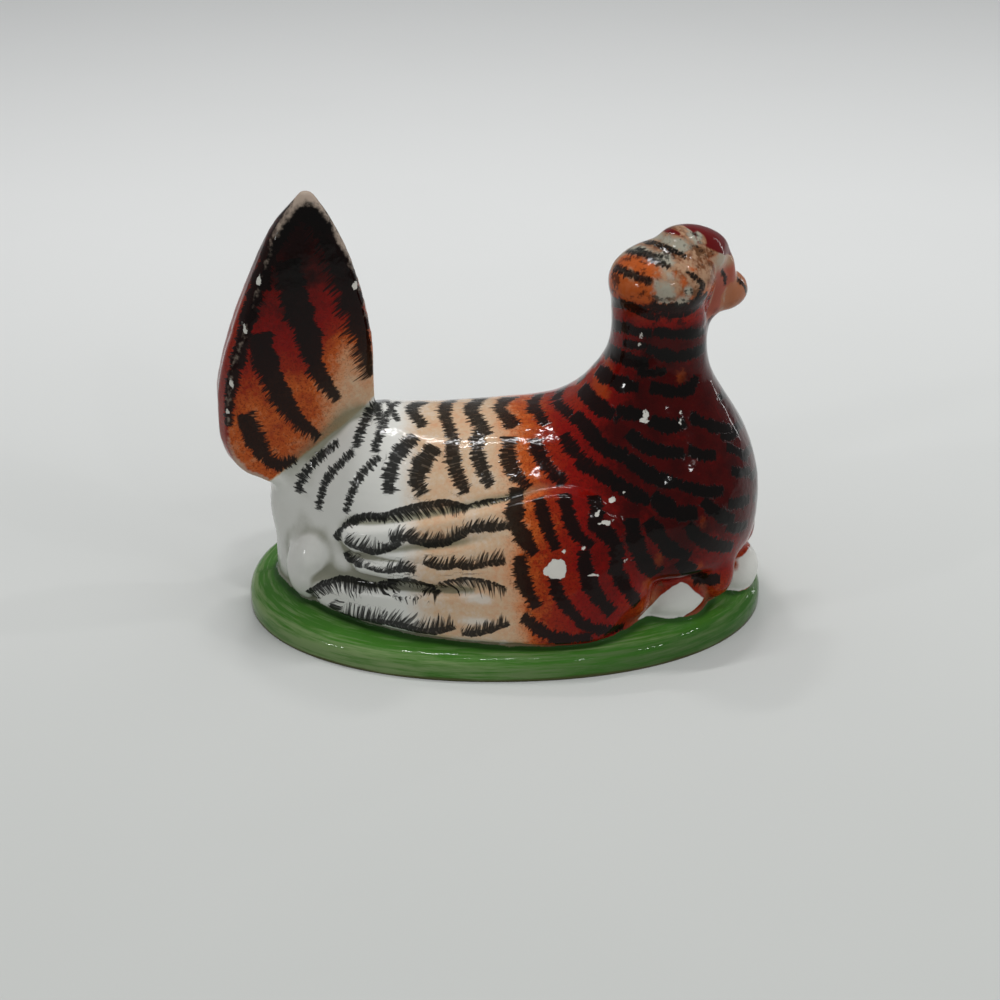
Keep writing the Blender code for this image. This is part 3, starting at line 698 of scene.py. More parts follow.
def cut(ob, tool):
    tool.hide_render = True
    tool.display_type = 'WIRE'
    mod = ob.modifiers.new('Cut', 'BOOLEAN')
    mod.operation = 'DIFFERENCE'
    mod.object = tool
    mod.solver = 'EXACT'
    apply_modifiers(ob)
    bpy.data.objects.remove(tool, do_unlink=True)


def block(name, low, high):
    xs, ys, zs = zip(low, high)
    points = [(x, y, z) for x in xs for y in ys for z in zs]
    faces = [(0, 1, 3, 2), (4, 6, 7, 5), (0, 4, 5, 1), (2, 3, 7, 6), (0, 2, 6, 4), (1, 5, 7, 3)]
    return mesh_object(name, points, faces)


def model_skin():
    """The same masses as the frame's solid, with the wing relief carved in and an uneven glaze."""
    parts = [base_clay(), body_clay(), neck_clay(), tail_clay()]
    parts += [ellipsoid_data(centre, radii, HEAD_YAW, tilt) for centre, radii, tilt in HEAD_MASSES + (COMB,)]
    parts += paired_clay()
    parts.append(ellipsoid_data(RUMP[0], RUMP[1]))
    hen = joined('glazed_hen', parts)
    mod = hen.modifiers.new('Clay', 'REMESH')
    mod.mode = 'VOXEL'
    mod.voxel_size = CLAY_GRID
    mod.adaptivity = 0.0
    apply_modifiers(hen)
    points, edges, normals = arrays(hen.data)
    points = smoothed(points, edges, CLAY_SMOOTHING)
    points = blended(points, edges, blend_weight(points), BLEND_ROUNDS)
    set_points(hen.data, points)
    points, edges, normals = arrays(hen.data)
    waves = np.array([noise.noise(Vector(p) / 5.5) + 0.5 * noise.noise(Vector(p) / 2.4) for p in points])
    carved = wing_relief(points) + head_relief(points)
    carved = carved + UNEVENNESS * waves * soft_step(points[:, 2], 2.0, 5.0)
    for side in (-1, 1):
        away = np.linalg.norm(points - np.array(RUMP_EGG) * np.array([1, side, 1]), axis=1)
        carved += RUMP_EGG_HEIGHT * (1 - soft_step(away, 0.8, RUMP_EGG_RADIUS))
    set_points(hen.data, smoothed(points + normals * carved[:, None], edges, 1))
    cut(hen, block('Ground', (-70.0, -50.0, -20.0), (70.0, 50.0, 0.0)))
    cut(hen, mesh_object('Hollow', *hollow_data()))
    rings = []
    for z in (-3.0, HOLLOW_FLOOR + 3.0):
        ring = oval(VENT_DIAMETER / 2, VENT_DIAMETER / 2, 2.0, 32, z)
        ring[:, 0] += VENT_X
        rings.append(ring)
    cut(hen, mesh_object('Vent', *loft_data(rings)))
    return hen


def surface_tree(mesh):
    mesh.calc_loop_triangles()
    corners = [tuple(t.vertices) for t in mesh.loop_triangles]
    return BVHTree.FromPolygons([v.co[:] for v in mesh.vertices], corners)


def on_surface(tree, view, place):
    """The point of the skin seen at a place of the side view (x, z) or the front view (y, z)."""
    a, b = place
    start, way = {
        'side': (Vector((a, -90.0, b)), Vector((0, 1, 0))),
        'front': (Vector((90.0, a, b)), Vector((-1, 0, 0))),
    }[view]
    hit = tree.ray_cast(start, way)[0]
    if hit is None:
        hit = tree.find_nearest(start + way * (88.0 if view == 'side' else 60.0))[0]
    return np.array(hit)


def photo_point(tree, pixel):
    """The point of the skin behind a pixel of the photograph, or the nearest one beside its outline."""
    across, down = (2 * value / PHOTO_SIDE - 1 for value in pixel)
    half = SENSOR / LENS / 2
    way = CAMERA_BACK.to_track_quat('Z', 'Y') @ Vector((across * half, -down * half, -1.0)).normalized()
    hit = tree.ray_cast(CAMERA_EYE, way)[0]
    if hit is None:
        near = [tree.find_nearest(CAMERA_EYE + way * reach) for reach in range(230, 350, 2)]
        hit = min(near, key=lambda found: found[3])[0]
    return np.array(hit)


def spline(points, step=0.35):
    """Even samples along a smooth path through the points."""
    p = np.array(points, dtype=float)
    p = np.vstack([2 * p[0] - p[1], p, 2 * p[-1] - p[-2]])
    out = []
    for i in range(1, len(p) - 2):
        count = max(2, int(np.linalg.norm(p[i + 1] - p[i]) / step))
        for t in np.arange(count) / count:
            a, b, c, d = p[i - 1:i + 3]
            out.append(0.5 * (2 * b + (c - a) * t + (2 * a - 5 * b + 4 * c - d) * t * t
                              + (3 * b - a - 3 * c + d) * t ** 3))
    out.append(p[-2])
    return np.array(out)


def mirrored(points, head):
    """The same places on the hen's other side, across the head's own middle for the head."""
    if not head:
        return points * np.array([1.0, -1.0, 1.0])
    across = np.array([-sin(radians(HEAD_YAW)), cos(radians(HEAD_YAW)), 0.0])
    return points - 2 * ((points - np.array(HEAD_PIVOT)) @ across)[:, None] * across


def laid_strokes(tree):
    """Every stroke as samples on the skin, near side and mirrored far side, and the bands of the breast."""
    laid = []
    for group, strokes in STROKES.items():
        for half, left, right, path in strokes:
            line = spline([photo_point(tree, pixel) for pixel in path])
            far_side = mirrored(line, group == 'head') + rng.normal(0, 0.12, 3)
            laid.append((group, half, left, right, line))
            laid.append((group, half, right, left, far_side))
    for reach, height, sag in BREAST_BANDS:
        places = ((-reach, height), (0.0, height - sag), (reach, height))
        line = spline([on_surface(tree, 'front', place) for place in places])
        laid.append(('breast', BREAST_BAND_HALF, BREAST_BAND_HAIRS, BREAST_BAND_HAIRS, line))
    return laid


def strokes_on_skin(laid, tree):
    """Samples of all strokes pressed onto the skin: place, facing, heading, run and the stroke's number."""
    places, facings, headings, runs, owner = [], [], [], [], []
    for number, (*brush, line) in enumerate(laid):
        near = [tree.find_nearest(Vector(p))[:2] for p in line]
        line = np.array([p for p, normal in near])
        heading = np.gradient(line, axis=0)
        places.append(line)
        facings.append(np.array([normal for p, normal in near]))
        headings.append(heading / (np.linalg.norm(heading, axis=1)[:, None] + 1e-9))
        runs.append(np.concatenate([[0], np.cumsum(np.linalg.norm(np.diff(line, axis=0), axis=1))]))
        owner += [number] * len(line)
    total = [run[-1] for run in runs]
    return (*(np.concatenate(v) for v in (places, facings, headings, runs)), owner, total)


def paint_strokes(points, normals, laid, tree):
    """Per point: place along the nearest stroke, place across it, how far past its end; half width and
    the two hair lengths; distance to the stroke, dryness and roughness of the brush."""
    place, facing, heading, run_at, owner, total = strokes_on_skin(laid, tree)
    kd = KDTree(len(place))
    for i, p in enumerate(place):
        kd.insert(p, i)
    kd.balance()
    track = np.tile([0.0, 9.0, 9.0], (len(points), 1))
    brush = np.zeros((len(points), 3))
    guard = np.tile([9.0, 0.0, 0.0], (len(points), 1))
    offsets = rng.uniform(0, 400, len(laid))
    for i, p in enumerate(points):
        best = None
        for _, k, far in kd.find_range(p, STROKE_REACH):
            score = far - laid[owner[k]][1]
            if (best is None or score < best[0]) and facing[k] @ normals[i] > 0.1:
                best = (score, k)
        if best is None:
            continue
        k = best[1]
        number = owner[k]
        group, half, left, right = laid[number][:4]
        gap = p - place[k]
        side = gap @ np.cross(facing[k], heading[k])
        run = run_at[k] + gap @ heading[k]
        part = min(1.0, max(0.0, run / total[number]))
        dry, lean, start, end, rough = BRUSHES[group]
        swell = start + (end - start) * part + 0.25 * sin(pi * part)
        track[i] = (run - lean * abs(side) + offsets[number], side, max(0.0, -run, run - total[number]))
        brush[i] = (half * swell, left, right)
        guard[i] = (abs(side), dry, rough)
    return track, brush, guard


def base_top(x, y):
    """Height of the base's upper face, and how far in from the rim each point is."""
    a, b = BASE_LENGTH / 2, BASE_WIDTH / 2
    reach = (np.abs(x / a) ** BASE_SQUARENESS + np.abs(y / b) ** BASE_SQUARENESS) ** (1 / BASE_SQUARENESS)
    inset = (1 - reach) * np.hypot(x, y) / np.maximum(reach, 0.05)
    t = np.clip((inset - BASE_SHOULDER) / 11.0, 0, 1)
    return BASE_RIM + BASE_CROWN * (1 - (1 - t) ** 2), inset


def ellipsoid_gap(points, centre, radii, yaw=0.0, pitch=0.0):
    turn = np.array(Matrix.Rotation(radians(yaw), 3, 'Z') @ Matrix.Rotation(radians(pitch), 3, 'Y'))
    local = (points - np.array(centre)) @ turn
    size = np.linalg.norm(local / np.array(radii), axis=1)
    return (size - 1) * np.linalg.norm(local, axis=1) / np.maximum(size, 1e-6)


def outline_depth(a, b, outline):
    """Signed distance to a closed outline in a flat view, positive inside."""
    corners = np.array(outline)
    away = line_distance(a, b, list(outline) + [outline[0]])
    inside = np.zeros(len(a), dtype=bool)
    for (ax, az), (bx, bz) in zip(corners, np.roll(corners, -1, axis=0)):
        crosses = (az > b) != (bz > b)
        inside ^= crosses & (a < (bx - ax) * (b - az) / (bz - az + 1e-12) + ax)
    return np.where(inside, away, -away)


def dab_field(points, dabs):
    """Largest depth inside the listed dabs of one paint, seen from the side or in the head's frame."""
    ahead = head_frame(points)[0]
    across, up = points[:, 0], points[:, 2]
    on_head = (up > 47.0) & (across > 2.0)
    field = np.full(len(points), -3.0)
    for view, (a, b), (ra, rb) in dabs:
        along = ahead if view == 'head' else across
        depth = (1 - np.hypot((along - a) / ra, (up - b) / rb)) * min(ra, rb)
        allowed = on_head if view == 'head' else ~on_head
        field = np.maximum(field, np.where(allowed, depth, -3.0))
    return field


def hollowness(points, edges, rounds):
    """How far each point lies below the even surface around it: positive in creases, negative on edges."""
    degree = np.bincount(edges.ravel(), minlength=len(points))
    even = points
    for _ in range(rounds):
        even = pulled(even, edges, degree, 0.6)
    return even - points


def paint_zones(points, normals):
    """Warmth of the enamel from bare white to maroon, and signed edges of the flat-painted areas."""
    x, y, z = points.T
    ahead, out, height = head_frame(points)
    top, inset = base_top(x, y)
    green = top + 0.3 - z
    start = -16.3 + 1.2 * (1 - soft_step(z, 10.0, 26.0))
    warm = 0.25 * soft_step(x, start - 3.5, start + 5.0)
    leaning = x + 0.1 * (z - 20.0)
    warm += 0.25 * soft_step(leaning, -2.5, 4.5) + 0.23 * soft_step(leaning, 4.5, 15.0)
    warm += 0.25 * soft_step(x + 0.3 * (z - 22.0), 15.0, 26.0)
    warm += 0.10 * soft_step(x, 1.0, 8.0) * (1 - soft_step(x, 16.0, 24.0))
    warm -= 0.22 * (1 - soft_step(z, 9.5, 14.5)) * soft_step(x, 14.0, 24.0)
    warm -= 0.26 * soft_step(-normals[:, 0], 0.1, 0.8) * soft_step(z, 33.0, 40.0)
    warm -= 0.16 * soft_step(x, 22.0, 32.0) * (1 - soft_step(z, 14.0, 24.0))
    edge = (z - 24.9 - 0.72 * (x + 39.0)) * 0.81
    tail = np.where((x < -20.5) & (edge > -4), edge, -4.0)
    tail = np.where((x < -39.6) & (z > 22.5), 3.0, tail)
    heights, warmths = np.array(TAIL_WARMTH).T
    tail_warm = np.interp(z, heights, warmths)
    tail_warm -= 0.26 * soft_step(x, -33.0, -24.5) * (1 - soft_step(z, 46.0, 62.0)) * soft_step(z, 28.0, 36.0)
    tail_warm = np.where(normals[:, 0] < -0.5, 0.66, tail_warm)
    mask = soft_step(tail, -0.2, 0.2)
    warm = warm * (1 - mask) + tail_warm * mask
    white = np.full(len(points), -3.0)
    for view, outline in EGG_WHITES:
        if view == 'side':
            depth = outline_depth(x, z, outline)
        else:
            depth = np.where(x > 36.0, outline_depth(-np.abs(y), z, outline), -3.0)
        white = np.maximum(white, np.where(np.abs(y) > 3.0, depth, -3.0))
    low_ahead, low_edge = np.array(COMB_EDGE).T
    comb = np.minimum(height - np.interp(ahead, low_ahead, low_edge), np.minimum(ahead + 2.8, 5.4 - out))
    comb = np.where(z > 57.0, np.minimum(comb, -dab_field(points, COMB_WORN)), -3.0)
    beak = 0.7 - ellipsoid_gap(points, *HEAD_MASSES[4][:2], HEAD_YAW, HEAD_MASSES[4][2])
    rim_heights, rim = np.array(CHEEK_RIM).T
    face = np.minimum(ahead - np.interp(height, rim_heights, rim), 61.5 - height)
    face = np.where((z > 50.0) & (x > 24.0), np.minimum(face, z - 50.0), -5.0)
    head = soft_step(z, 51.0, 53.0) * soft_step(x, 6.0, 12.0)
    warm = warm * (1 - head) + head * (0.53 + 0.2 * soft_step(57.0 - z, 0.0, 4.0))
    soot = np.where((x < -20) & (z > 40), z - 67.2, -30.0)
    feathered = head * (1 - soft_step(face, -0.2, 0.4)) * (1 - soft_step(comb, 0.1, 0.6))
    return warm, green, white, comb, face, beak, tail, soot, inset, feathered


def chip_field(points, tree):
    field = np.full(len(points), -5.0)
    for radii, place in CHIPS:
        spot = on_surface(tree, 'side', place)
        away = (points - spot) / np.array([radii[0], max(radii), radii[1]])
        field = np.maximum(field, (1 - np.linalg.norm(away, axis=1)) * min(radii))
    return field


def store(mesh, name, *values):
    """One number or three per point, read by the material under this name."""
    kind, key = ('FLOAT', 'value') if len(values) == 1 else ('FLOAT_VECTOR', 'vector')
    layer = mesh.attributes.new(name, kind, 'POINT')
    layer.data.foreach_set(key, np.stack(values, -1).astype(np.float32).ravel())


def paint(hen):
    mesh = hen.data
    points, edges, normals = arrays(mesh)
    tree = surface_tree(mesh)
    track, brush, guard = paint_strokes(points, normals, laid_strokes(tree), tree)
    warm, green, white, comb, face, beak, tail, soot, inset, feathered = paint_zones(points, normals)
    crease = (hollowness(points, edges, 40) * normals).sum(axis=1)
    store(mesh, 'stroke_track', *track.T)
    store(mesh, 'stroke_brush', *brush.T)
    store(mesh, 'stroke_guard', *guard.T)
    store(mesh, 'warmth', warm)
    store(mesh, 'feathered', feathered)
    store(mesh, 'edges', green, white, comb)
    store(mesh, 'face', face, beak, chip_field(points, tree))
    store(mesh, 'dabs', *(dab_field(points, DABS[paint]) for paint in ('pale', 'dark', 'orange')))
    store(mesh, 'wear_and_shade', crease, tail, soot)
    turn = np.arctan2(points[:, 1] / BASE_WIDTH, points[:, 0] / BASE_LENGTH)
    store(mesh, 'rim', turn * 36.0, inset, points[:, 2])


class Nodes:
    """Small helper for laying out a material's nodes."""

    def __init__(self, material):
        material.use_nodes = True
        self.tree = material.node_tree
        self.tree.nodes.clear()
        self.column = 0

    def new(self, kind, **settings):
        node = self.tree.nodes.new(kind)
        node.location = (self.column * 180, -(len(self.tree.nodes) % 9) * 170)
        self.column += 0.25
        for key, value in settings.items():
            setattr(node, key, value)
        return node

    def link(self, source, target):
        if hasattr(source, 'is_output'):
            self.tree.links.new(source, target)
        else:
            target.default_value = source

    def maths(self, operation, *values, clamp=False):
        node = self.new('ShaderNodeMath', operation=operation, use_clamp=clamp)
        for value, socket in zip(values, node.inputs):
            self.link(value, socket)
        return node.outputs[0]

    def plus(self, *values):
        total = values[0]
        for value in values[1:]:
            total = self.maths('ADD', total, value)
        return total

    def times(self, *values):
        total = values[0]
        for value in values[1:]:
            total = self.maths('MULTIPLY', total, value)
        return total

    def wander(self, value, size):
        """A noise value moved to swing about zero by the given size."""
        return self.times(self.maths('SUBTRACT', value, 0.5), 2.0 * size)

    def step(self, value, low, high):
        node = self.new('ShaderNodeMapRange', interpolation_type='SMOOTHSTEP')
        for v, key in ((value, 'Value'), (low, 'From Min'), (high, 'From Max')):
            self.link(v, node.inputs[key])
        return node.outputs['Result']

    def mix(self, amount, first, second, kind='MIX'):
        node = self.new('ShaderNodeMix', data_type='RGBA', blend_type=kind)
        for value, place in ((amount, 0), (first, 6), (second, 7)):
            if isinstance(value, tuple) and len(value) == 3:
                value = (*value, 1.0)
            self.link(value, node.inputs[place])
        return node.outputs[2]

    def attribute(self, name):
        node = self.new('ShaderNodeAttribute', attribute_name=name, attribute_type='GEOMETRY')
        return node.outputs

    def three(self, name):
        """The three numbers stored under this name."""
        return self.split(self.attribute(name)['Vector'])

    def split(self, vector):
        node = self.new('ShaderNodeSeparateXYZ')
        self.link(vector, node.inputs[0])
        return node.outputs

    def join(self, x, y, z):
        node = self.new('ShaderNodeCombineXYZ')
        for value, socket in zip((x, y, z), node.inputs):
            self.link(value, socket)
        return node.outputs[0]

    def noise(self, scale, detail=2.0, vector=None, along=None, rough=0.5):
        node = self.new('ShaderNodeTexNoise')
        node.inputs['Scale'].default_value = scale
        node.inputs['Detail'].default_value = detail
        node.inputs['Roughness'].default_value = rough
        if along is not None:
            node.noise_dimensions = '1D'
            self.link(along, node.inputs['W'])
        elif vector is not None:
            self.link(vector, node.inputs['Vector'])
        return node.outputs['Fac']

    def ramp(self, value, stops):
        node = self.new('ShaderNodeValToRGB')
        self.link(value, node.inputs[0])
        ramp = node.color_ramp
        while len(ramp.elements) < len(stops):
            ramp.elements.new(0.5)
        for element, (place, colour) in zip(ramp.elements, stops):
            element.position = place
            element.color = (*colour, 1.0)
        return node.outputs[0]


def shade(r, g, b):
    """Linear colour of a screen colour given in 0 to 255."""
    return tuple(((c / 255 + 0.055) / 1.055) ** 2.4 if c > 10 else c / 255 / 12.92 for c in (r, g, b))


WHITE_GLAZE = shade(212, 212, 206)
# Grey-green of glaze pooled in hollows, dark enough to also serve as painted shade there
POOLED_GLAZE_AND_SHADE = shade(112, 112, 88)
PEACH = shade(198, 170, 140)
SALMON = shade(198, 140, 100)
WORN_RIDGE = shade(186, 168, 152)
ORANGE = shade(180, 84, 32)
RUST = shade(138, 37, 13)
RED = shade(122, 14, 9)
MAROON = shade(62, 5, 5)
INK = shade(9, 10, 9)
GREEN = shade(64, 114, 40)
GREEN_DEEP = shade(40, 74, 30)
GREEN_THIN = shade(118, 142, 92)
BROWN_RIM = shade(74, 62, 42)
CREAM = shade(160, 134, 108)
PALE_GREY = shade(158, 156, 141)
OLIVE_BROWN = shade(92, 62, 40)
FACE = shade(150, 78, 62)
COMB_RED = shade(92, 12, 13)
BEAK = shade(158, 98, 66)
CHIPPED = shade(206, 204, 196)
SPECK = shade(64, 16, 8)
MAROON_SHADE_PATCHES = shade(30, 4, 4)
CLOTH_SHADED_NEAR = shade(195, 197, 194)
CLOTH_LIT_FAR = shade(225, 226, 225)


def brushed_ink(n, place, grain):
    """How much black lies on each point, from the strokes' tracks."""
    along, across, past = n.three('stroke_track')
    half, left, right = n.three('stroke_brush')
    apart, dry, rough = n.three('stroke_guard')
    on_left = n.maths('GREATER_THAN', across, 0.0)
    reach = n.plus(n.times(left, on_left), n.times(right, n.maths('SUBTRACT', 1.0, on_left)))
    lane = n.plus(along, n.times(on_left, 37.3))
    core = n.times(half, n.plus(1.0, n.wander(n.noise(0.45, 1.0, along=along), 0.5)))
    uneven = n.plus(0.95, n.wander(n.noise(1.5, 2.0, along=lane), 1.6))
    length = n.times(reach, n.maths('MAXIMUM', uneven, 0.1))
    beyond = n.maths('SUBTRACT', apart, core)
    part = n.maths('DIVIDE', beyond, n.maths('MAXIMUM', length, 0.02), clamp=True)
    hair = n.noise(2.0, 2.0, along=lane, rough=0.7)
    hairs = n.step(n.maths('SUBTRACT', hair, n.plus(0.30, n.times(part, 0.24))), -0.06, 0.09)
    hairs = n.times(hairs, n.maths('LESS_THAN', beyond, length))
    speckle = n.times(n.wander(n.noise(1100.0, 3.0, place, rough=0.7), 1.6), rough)
    soft = n.plus(0.05, n.times(rough, 0.45))
    solid = n.step(n.plus(n.times(beyond, -1.0), speckle, n.wander(grain, 0.06)), n.times(soft, -1.0), soft)
    ends = n.step(n.plus(past, n.wander(hair, 0.5)), 0.55, 0.25)
    streak = n.times(n.step(hair, 0.46, 0.34), dry)
    thin = n.times(n.step(n.noise(1.9, 1.0, along=lane), 0.45, 0.7), n.step(beyond, -0.1, 0.1), 0.35)
    return n.times(n.maths('MAXIMUM', solid, hairs), ends, n.maths('SUBTRACT', 1.0, n.plus(streak, thin)))


def bird_ground(n, place, cloud, grain):
    """White glaze through peach and orange to maroon, with fine dark specks, and a grey-green darkening in
    hollows that is partly pooled glaze and partly painted shade.
    """
    crease = n.three('wear_and_shade')[0]
    warmth = n.attribute('warmth')['Fac']
    fine = n.noise(3400.0, 2.0, place)
    wide = n.noise(90.0, 2.0, place)
    patchy = n.times(n.plus(n.wander(cloud, 0.13), n.wander(grain, 0.09), n.wander(wide, 0.10)),
                     n.step(warmth, 0.0, 0.15))
    heat = n.maths('ADD', warmth, patchy, clamp=True)
    ground = n.ramp(heat, ((0.0, WHITE_GLAZE), (0.03, WHITE_GLAZE), (0.24, PEACH), (0.38, SALMON),
                           (0.50, ORANGE), (0.62, RUST), (0.76, RED), (0.95, MAROON)))
    specks = n.times(n.step(fine, 0.50, 0.66), n.step(warmth, 0.2, 0.5), 0.5)
    ground = n.mix(specks, ground, SPECK)
    # Painted shade in creases and hollows, tinted grey-green for the glaze pooled there
    glaze_pool_and_shade = n.times(n.step(n.plus(crease, n.wander(cloud, 0.08)), -0.02, 0.24), n.step(warmth, 0.75, 0.35))
    return n.mix(n.times(glaze_pool_and_shade, 0.8), ground, POOLED_GLAZE_AND_SHADE), warmth


def head_paint(n, paint, cloud, grain, wobble):
    """Worn feathers of the cheek, bare face, beak, pale and dark patches and the comb, with a painted
    highlight as a cream line along the cheek's rim.
    """
    comb = n.three('edges')[2]
    face, beak, _ = n.three('face')
    pale, dark, orange = n.three('dabs')
    height = n.three('rim')[2]
    feathered = n.attribute('feathered')['Fac']
    smudge = n.plus(n.wander(cloud, 1.6), n.wander(grain, 0.8))
    worn = n.step(n.plus(n.wander(cloud, 0.7), n.wander(grain, 0.35)), -0.20, 0.12)
    down = n.mix(worn, CREAM, OLIVE_BROWN)
    paint = n.mix(n.times(feathered, n.step(height, 56.0, 59.0), 0.85), paint, down)
    dabbed = n.step(n.plus(orange, smudge), -0.3, 0.9)
    paint = n.mix(n.times(dabbed, n.plus(0.35, n.times(feathered, 0.5))), paint, ORANGE)
    paint = n.mix(n.step(n.plus(face, wobble), 0.0, 0.5), paint, FACE)
    brow = n.times(n.step(face, 0.0, 0.5), n.step(n.plus(height, n.wander(cloud, 1.5)), 57.5, 59.5))
    paint = n.mix(n.times(brow, 0.8), paint, CREAM)
    # Painted highlight: a cream line just inside the face along the cheek's rim
    cheek_rim_highlight = n.times(n.step(n.maths('ABSOLUTE', n.plus(face, -0.35)), 0.45, 0.10), n.step(height, 49.5, 52.0))
    paint = n.mix(n.times(cheek_rim_highlight, 0.6), paint, CREAM)
    paint = n.mix(n.step(n.plus(beak, wobble), 0.0, 0.4), paint, BEAK)
    bleached = n.mix(n.step(height, 40.0, 44.0), WHITE_GLAZE, PALE_GREY)
    faded = n.step(n.plus(pale, n.times(smudge, 0.7), n.times(wobble, 0.6)), -0.2, 0.6)
    paint = n.mix(n.times(faded, n.plus(0.6, n.times(feathered, 0.3))), paint, bleached)
    paint = n.mix(n.times(n.step(n.plus(dark, smudge), -0.1, 0.5), 0.85), paint, OLIVE_BROWN)
    return n.mix(n.step(n.plus(comb, wobble), 0.0, 0.3), paint, COMB_RED), feathered


def black_marks(n, place, cloud, grain, feathered):
    """Brush strokes, mottled black of the cheek and the sooty tip of the tail."""
    soot = n.three('wear_and_shade')[2]
    veil = n.times(n.step(n.plus(soot, n.wander(cloud, 6.0)), -15.0, -4.0), 0.85)
    ragged = n.plus(n.wander(cloud, 3.0), n.wander(n.noise(900.0, 2.0, place), 2.0))
    cap = n.step(n.plus(soot, ragged), -0.6, 1.0)
    spots = n.wander(n.noise(1100.0, 3.0, place, rough=0.7), 0.5)
    mottle = n.times(n.step(n.plus(n.wander(cloud, 0.6), spots), 0.06, 0.22), feathered, 0.8)
    return n.maths('MAXIMUM', n.maths('MAXIMUM', brushed_ink(n, place, grain), mottle),
                   n.maths('MAXIMUM', cap, veil))


def base_paint(n, place):
    """Green brushed around the base, thin and worn on the rim, deep towards the front, and darkened in the
    corners as painted shade.
    """
    crease = n.three('wear_and_shade')[0]
    turn, inset, height = n.three('rim')
    lengthways = n.split(place)[0]
    around = n.join(n.times(turn, 0.10), n.times(inset, 1.3), n.times(height, 1.3))
    streaks = n.noise(1.0, 4.0, around, rough=0.65)
    worn_rear = n.plus(0.35, n.times(n.step(lengthways, 0.0, -0.03), 0.5))
    thin = n.maths('ADD', n.times(n.step(inset, 2.6, 0.2), worn_rear), n.wander(streaks, 2.0), clamp=True)
    leaf = n.mix(thin, GREEN, GREEN_THIN)
    towards_front = n.step(n.plus(lengthways, n.wander(streaks, 0.03)), -0.005, 0.03)
    leaf = n.mix(n.times(n.step(inset, 2.4, 0.6), towards_front, 0.6), leaf, GREEN_DEEP)
    # Painted shade: deep green in the hollows where the base meets the body
    corner_shade = n.step(n.plus(crease, n.wander(streaks, 0.1)), 0.05, 0.4)
    leaf = n.mix(n.times(corner_shade, 0.9), leaf, GREEN_DEEP)
    foot = n.step(n.plus(height, n.wander(streaks, 0.6)), 0.7, 0.2)
    return n.mix(n.times(foot, 0.8), leaf, BROWN_RIM)


def enamel_material():
    """Painted enamel under a clear glaze."""
    material = bpy.data.materials.new('painted_porcelain')
    n = Nodes(material)
    place = n.new('ShaderNodeTexCoord').outputs['Object']
    grain = n.noise(1500.0, 3.0, place)
    cloud = n.noise(260.0, 4.0, place, rough=0.6)
    wobble = n.wander(n.noise(480.0, 3.0, place, rough=0.6), 0.5)
    crease, tail, _ = n.three('wear_and_shade')
    green, white, _ = n.three('edges')

    ground, warmth = bird_ground(n, place, cloud, grain)
    paint, feathered = head_paint(n, ground, cloud, grain, wobble)
    # Painted shade: dark maroon patches in cloudy spots over the red and maroon enamel
    paint = n.mix(n.times(n.step(cloud, 0.42, 0.66), n.step(warmth, 0.84, 0.97), 0.55), paint, MAROON_SHADE_PATCHES)
    ink = black_marks(n, place, cloud, grain, feathered)
    painted = n.mix(n.times(ink, 0.96), paint, INK)
    rubbed = n.step(n.plus(crease, n.wander(cloud, 0.12), n.wander(grain, 0.10)), -0.30, -0.46)
    painted = n.mix(n.times(rubbed, n.step(tail, 0.0, 1.0), 0.75), painted, WORN_RIDGE)
    bare = n.step(n.plus(white, n.times(wobble, 0.3)), -0.08, 0.12)
    painted = n.mix(bare, painted, WHITE_GLAZE)
    on_base = n.step(n.plus(green, n.times(wobble, 0.5)), -0.06, 0.12)
    painted = n.mix(on_base, painted, base_paint(n, place))
    chipped = n.step(n.plus(n.three('face')[2], n.wander(n.noise(800.0, 3.0, place), 0.9)), 0.0, 0.12)
    painted = n.mix(chipped, painted, CHIPPED)

    shader = n.new('ShaderNodeBsdfPrincipled')
    n.link(painted, shader.inputs['Base Color'])
    uneven = n.times(n.noise(90.0, 2.0, place), 0.05)
    n.link(n.plus(0.05, uneven, n.times(chipped, 0.3)), shader.inputs['Roughness'])
    shader.inputs['IOR'].default_value = 1.24
    bump = n.new('ShaderNodeBump')
    bump.inputs['Strength'].default_value = 0.7
    bump.inputs['Distance'].default_value = 0.00016
    relief = n.plus(n.noise(430.0, 2.0, place), n.times(ink, 0.15), n.times(chipped, -0.7))
    n.link(relief, bump.inputs['Height'])
    n.link(bump.outputs[0], shader.inputs['Normal'])
    out = n.new('ShaderNodeOutputMaterial')
    n.link(shader.outputs[0], out.inputs[0])
    return material


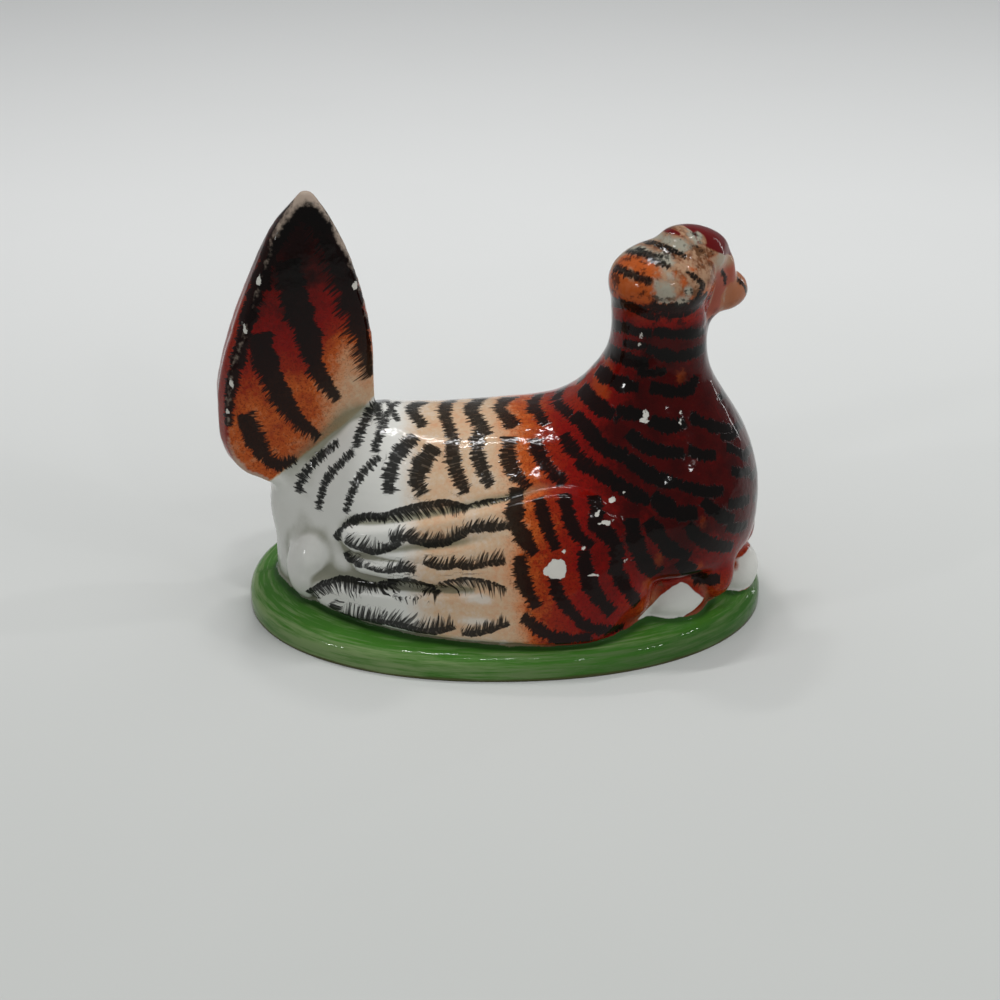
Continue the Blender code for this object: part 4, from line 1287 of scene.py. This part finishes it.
def cloth_material():
    """Pale sheet under the hen, with painted shade making it a little darker towards the near side."""
    material = bpy.data.materials.new('pale_sheet')
    n = Nodes(material)
    place = n.new('ShaderNodeTexCoord').outputs['Object']
    towards_back = n.step(n.split(place)[1], -0.12, 0.25)
    soft = n.noise(14.0, 3.0, place)
    tone = n.maths('ADD', towards_back, n.wander(soft, 0.06), clamp=True)
    # Painted shade: the near side of the sheet takes a darker copy of its colour
    colour = n.mix(tone, CLOTH_SHADED_NEAR, CLOTH_LIT_FAR)
    shader = n.new('ShaderNodeBsdfPrincipled')
    n.link(colour, shader.inputs['Base Color'])
    shader.inputs['Roughness'].default_value = 0.9
    shader.inputs['Specular IOR Level'].default_value = 0.1
    out = n.new('ShaderNodeOutputMaterial')
    n.link(shader.outputs[0], out.inputs[0])
    return material


def area_lamp(name, place, size, brightness, colour=(1, 1, 1)):
    """Lamp facing the hen; brightness is how bright its face is, so power follows its size.
    A broad lamp stands for the soft light of the room and leaves no shine of its own."""
    light = bpy.data.lights.new(name, 'AREA')
    light.shape = 'RECTANGLE'
    light.size, light.size_y = size
    light.energy = brightness * pi * size[0] * size[1]
    light.color = colour
    ob = bpy.data.objects.new(name, light)
    bpy.context.scene.collection.objects.link(ob)
    ob.visible_glossy = size[0] < 0.4
    ob.location = place
    ob.rotation_euler = (Vector((0, 0, 0.03)) - Vector(place)).to_track_quat('-Z', 'Y').to_euler()
    return ob


def studio():
    """Pale sheet, soft room light and the camera at the photograph's angle."""
    bpy.ops.mesh.primitive_plane_add(size=6.0, location=(0, 0, 0))
    floor = bpy.context.object
    floor.name = 'sheet'
    floor.data.materials.append(cloth_material())
    world = bpy.data.worlds.new('room')
    world.use_nodes = True
    back = world.node_tree.nodes['Background']
    back.inputs[0].default_value = (0.96, 0.98, 1.0, 1.0)
    back.inputs[1].default_value = 0.26
    bpy.context.scene.world = world
    for name, place, size, brightness in LAMPS:
        area_lamp(name, place, size, brightness)
    camera = bpy.data.cameras.new('camera')
    camera.lens = LENS
    camera.sensor_width = SENSOR
    camera.clip_start = 0.01
    eye = bpy.data.objects.new('camera', camera)
    bpy.context.scene.collection.objects.link(eye)
    eye.location = CAMERA_EYE * MM
    eye.rotation_euler = CAMERA_BACK.to_track_quat('Z', 'Y').to_euler()
    bpy.context.scene.camera = eye


hen = model_skin()
paint(hen)
hen.data.transform(Matrix.Scale(MM, 4))
hen.data.update()
hen.data.shade_smooth()
hen.data.materials.clear()
hen.data.materials.append(enamel_material())
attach(hen, 'root')
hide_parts('hen_figurine')
studio()

bpy.context.scene.view_settings.view_transform = 'Standard'
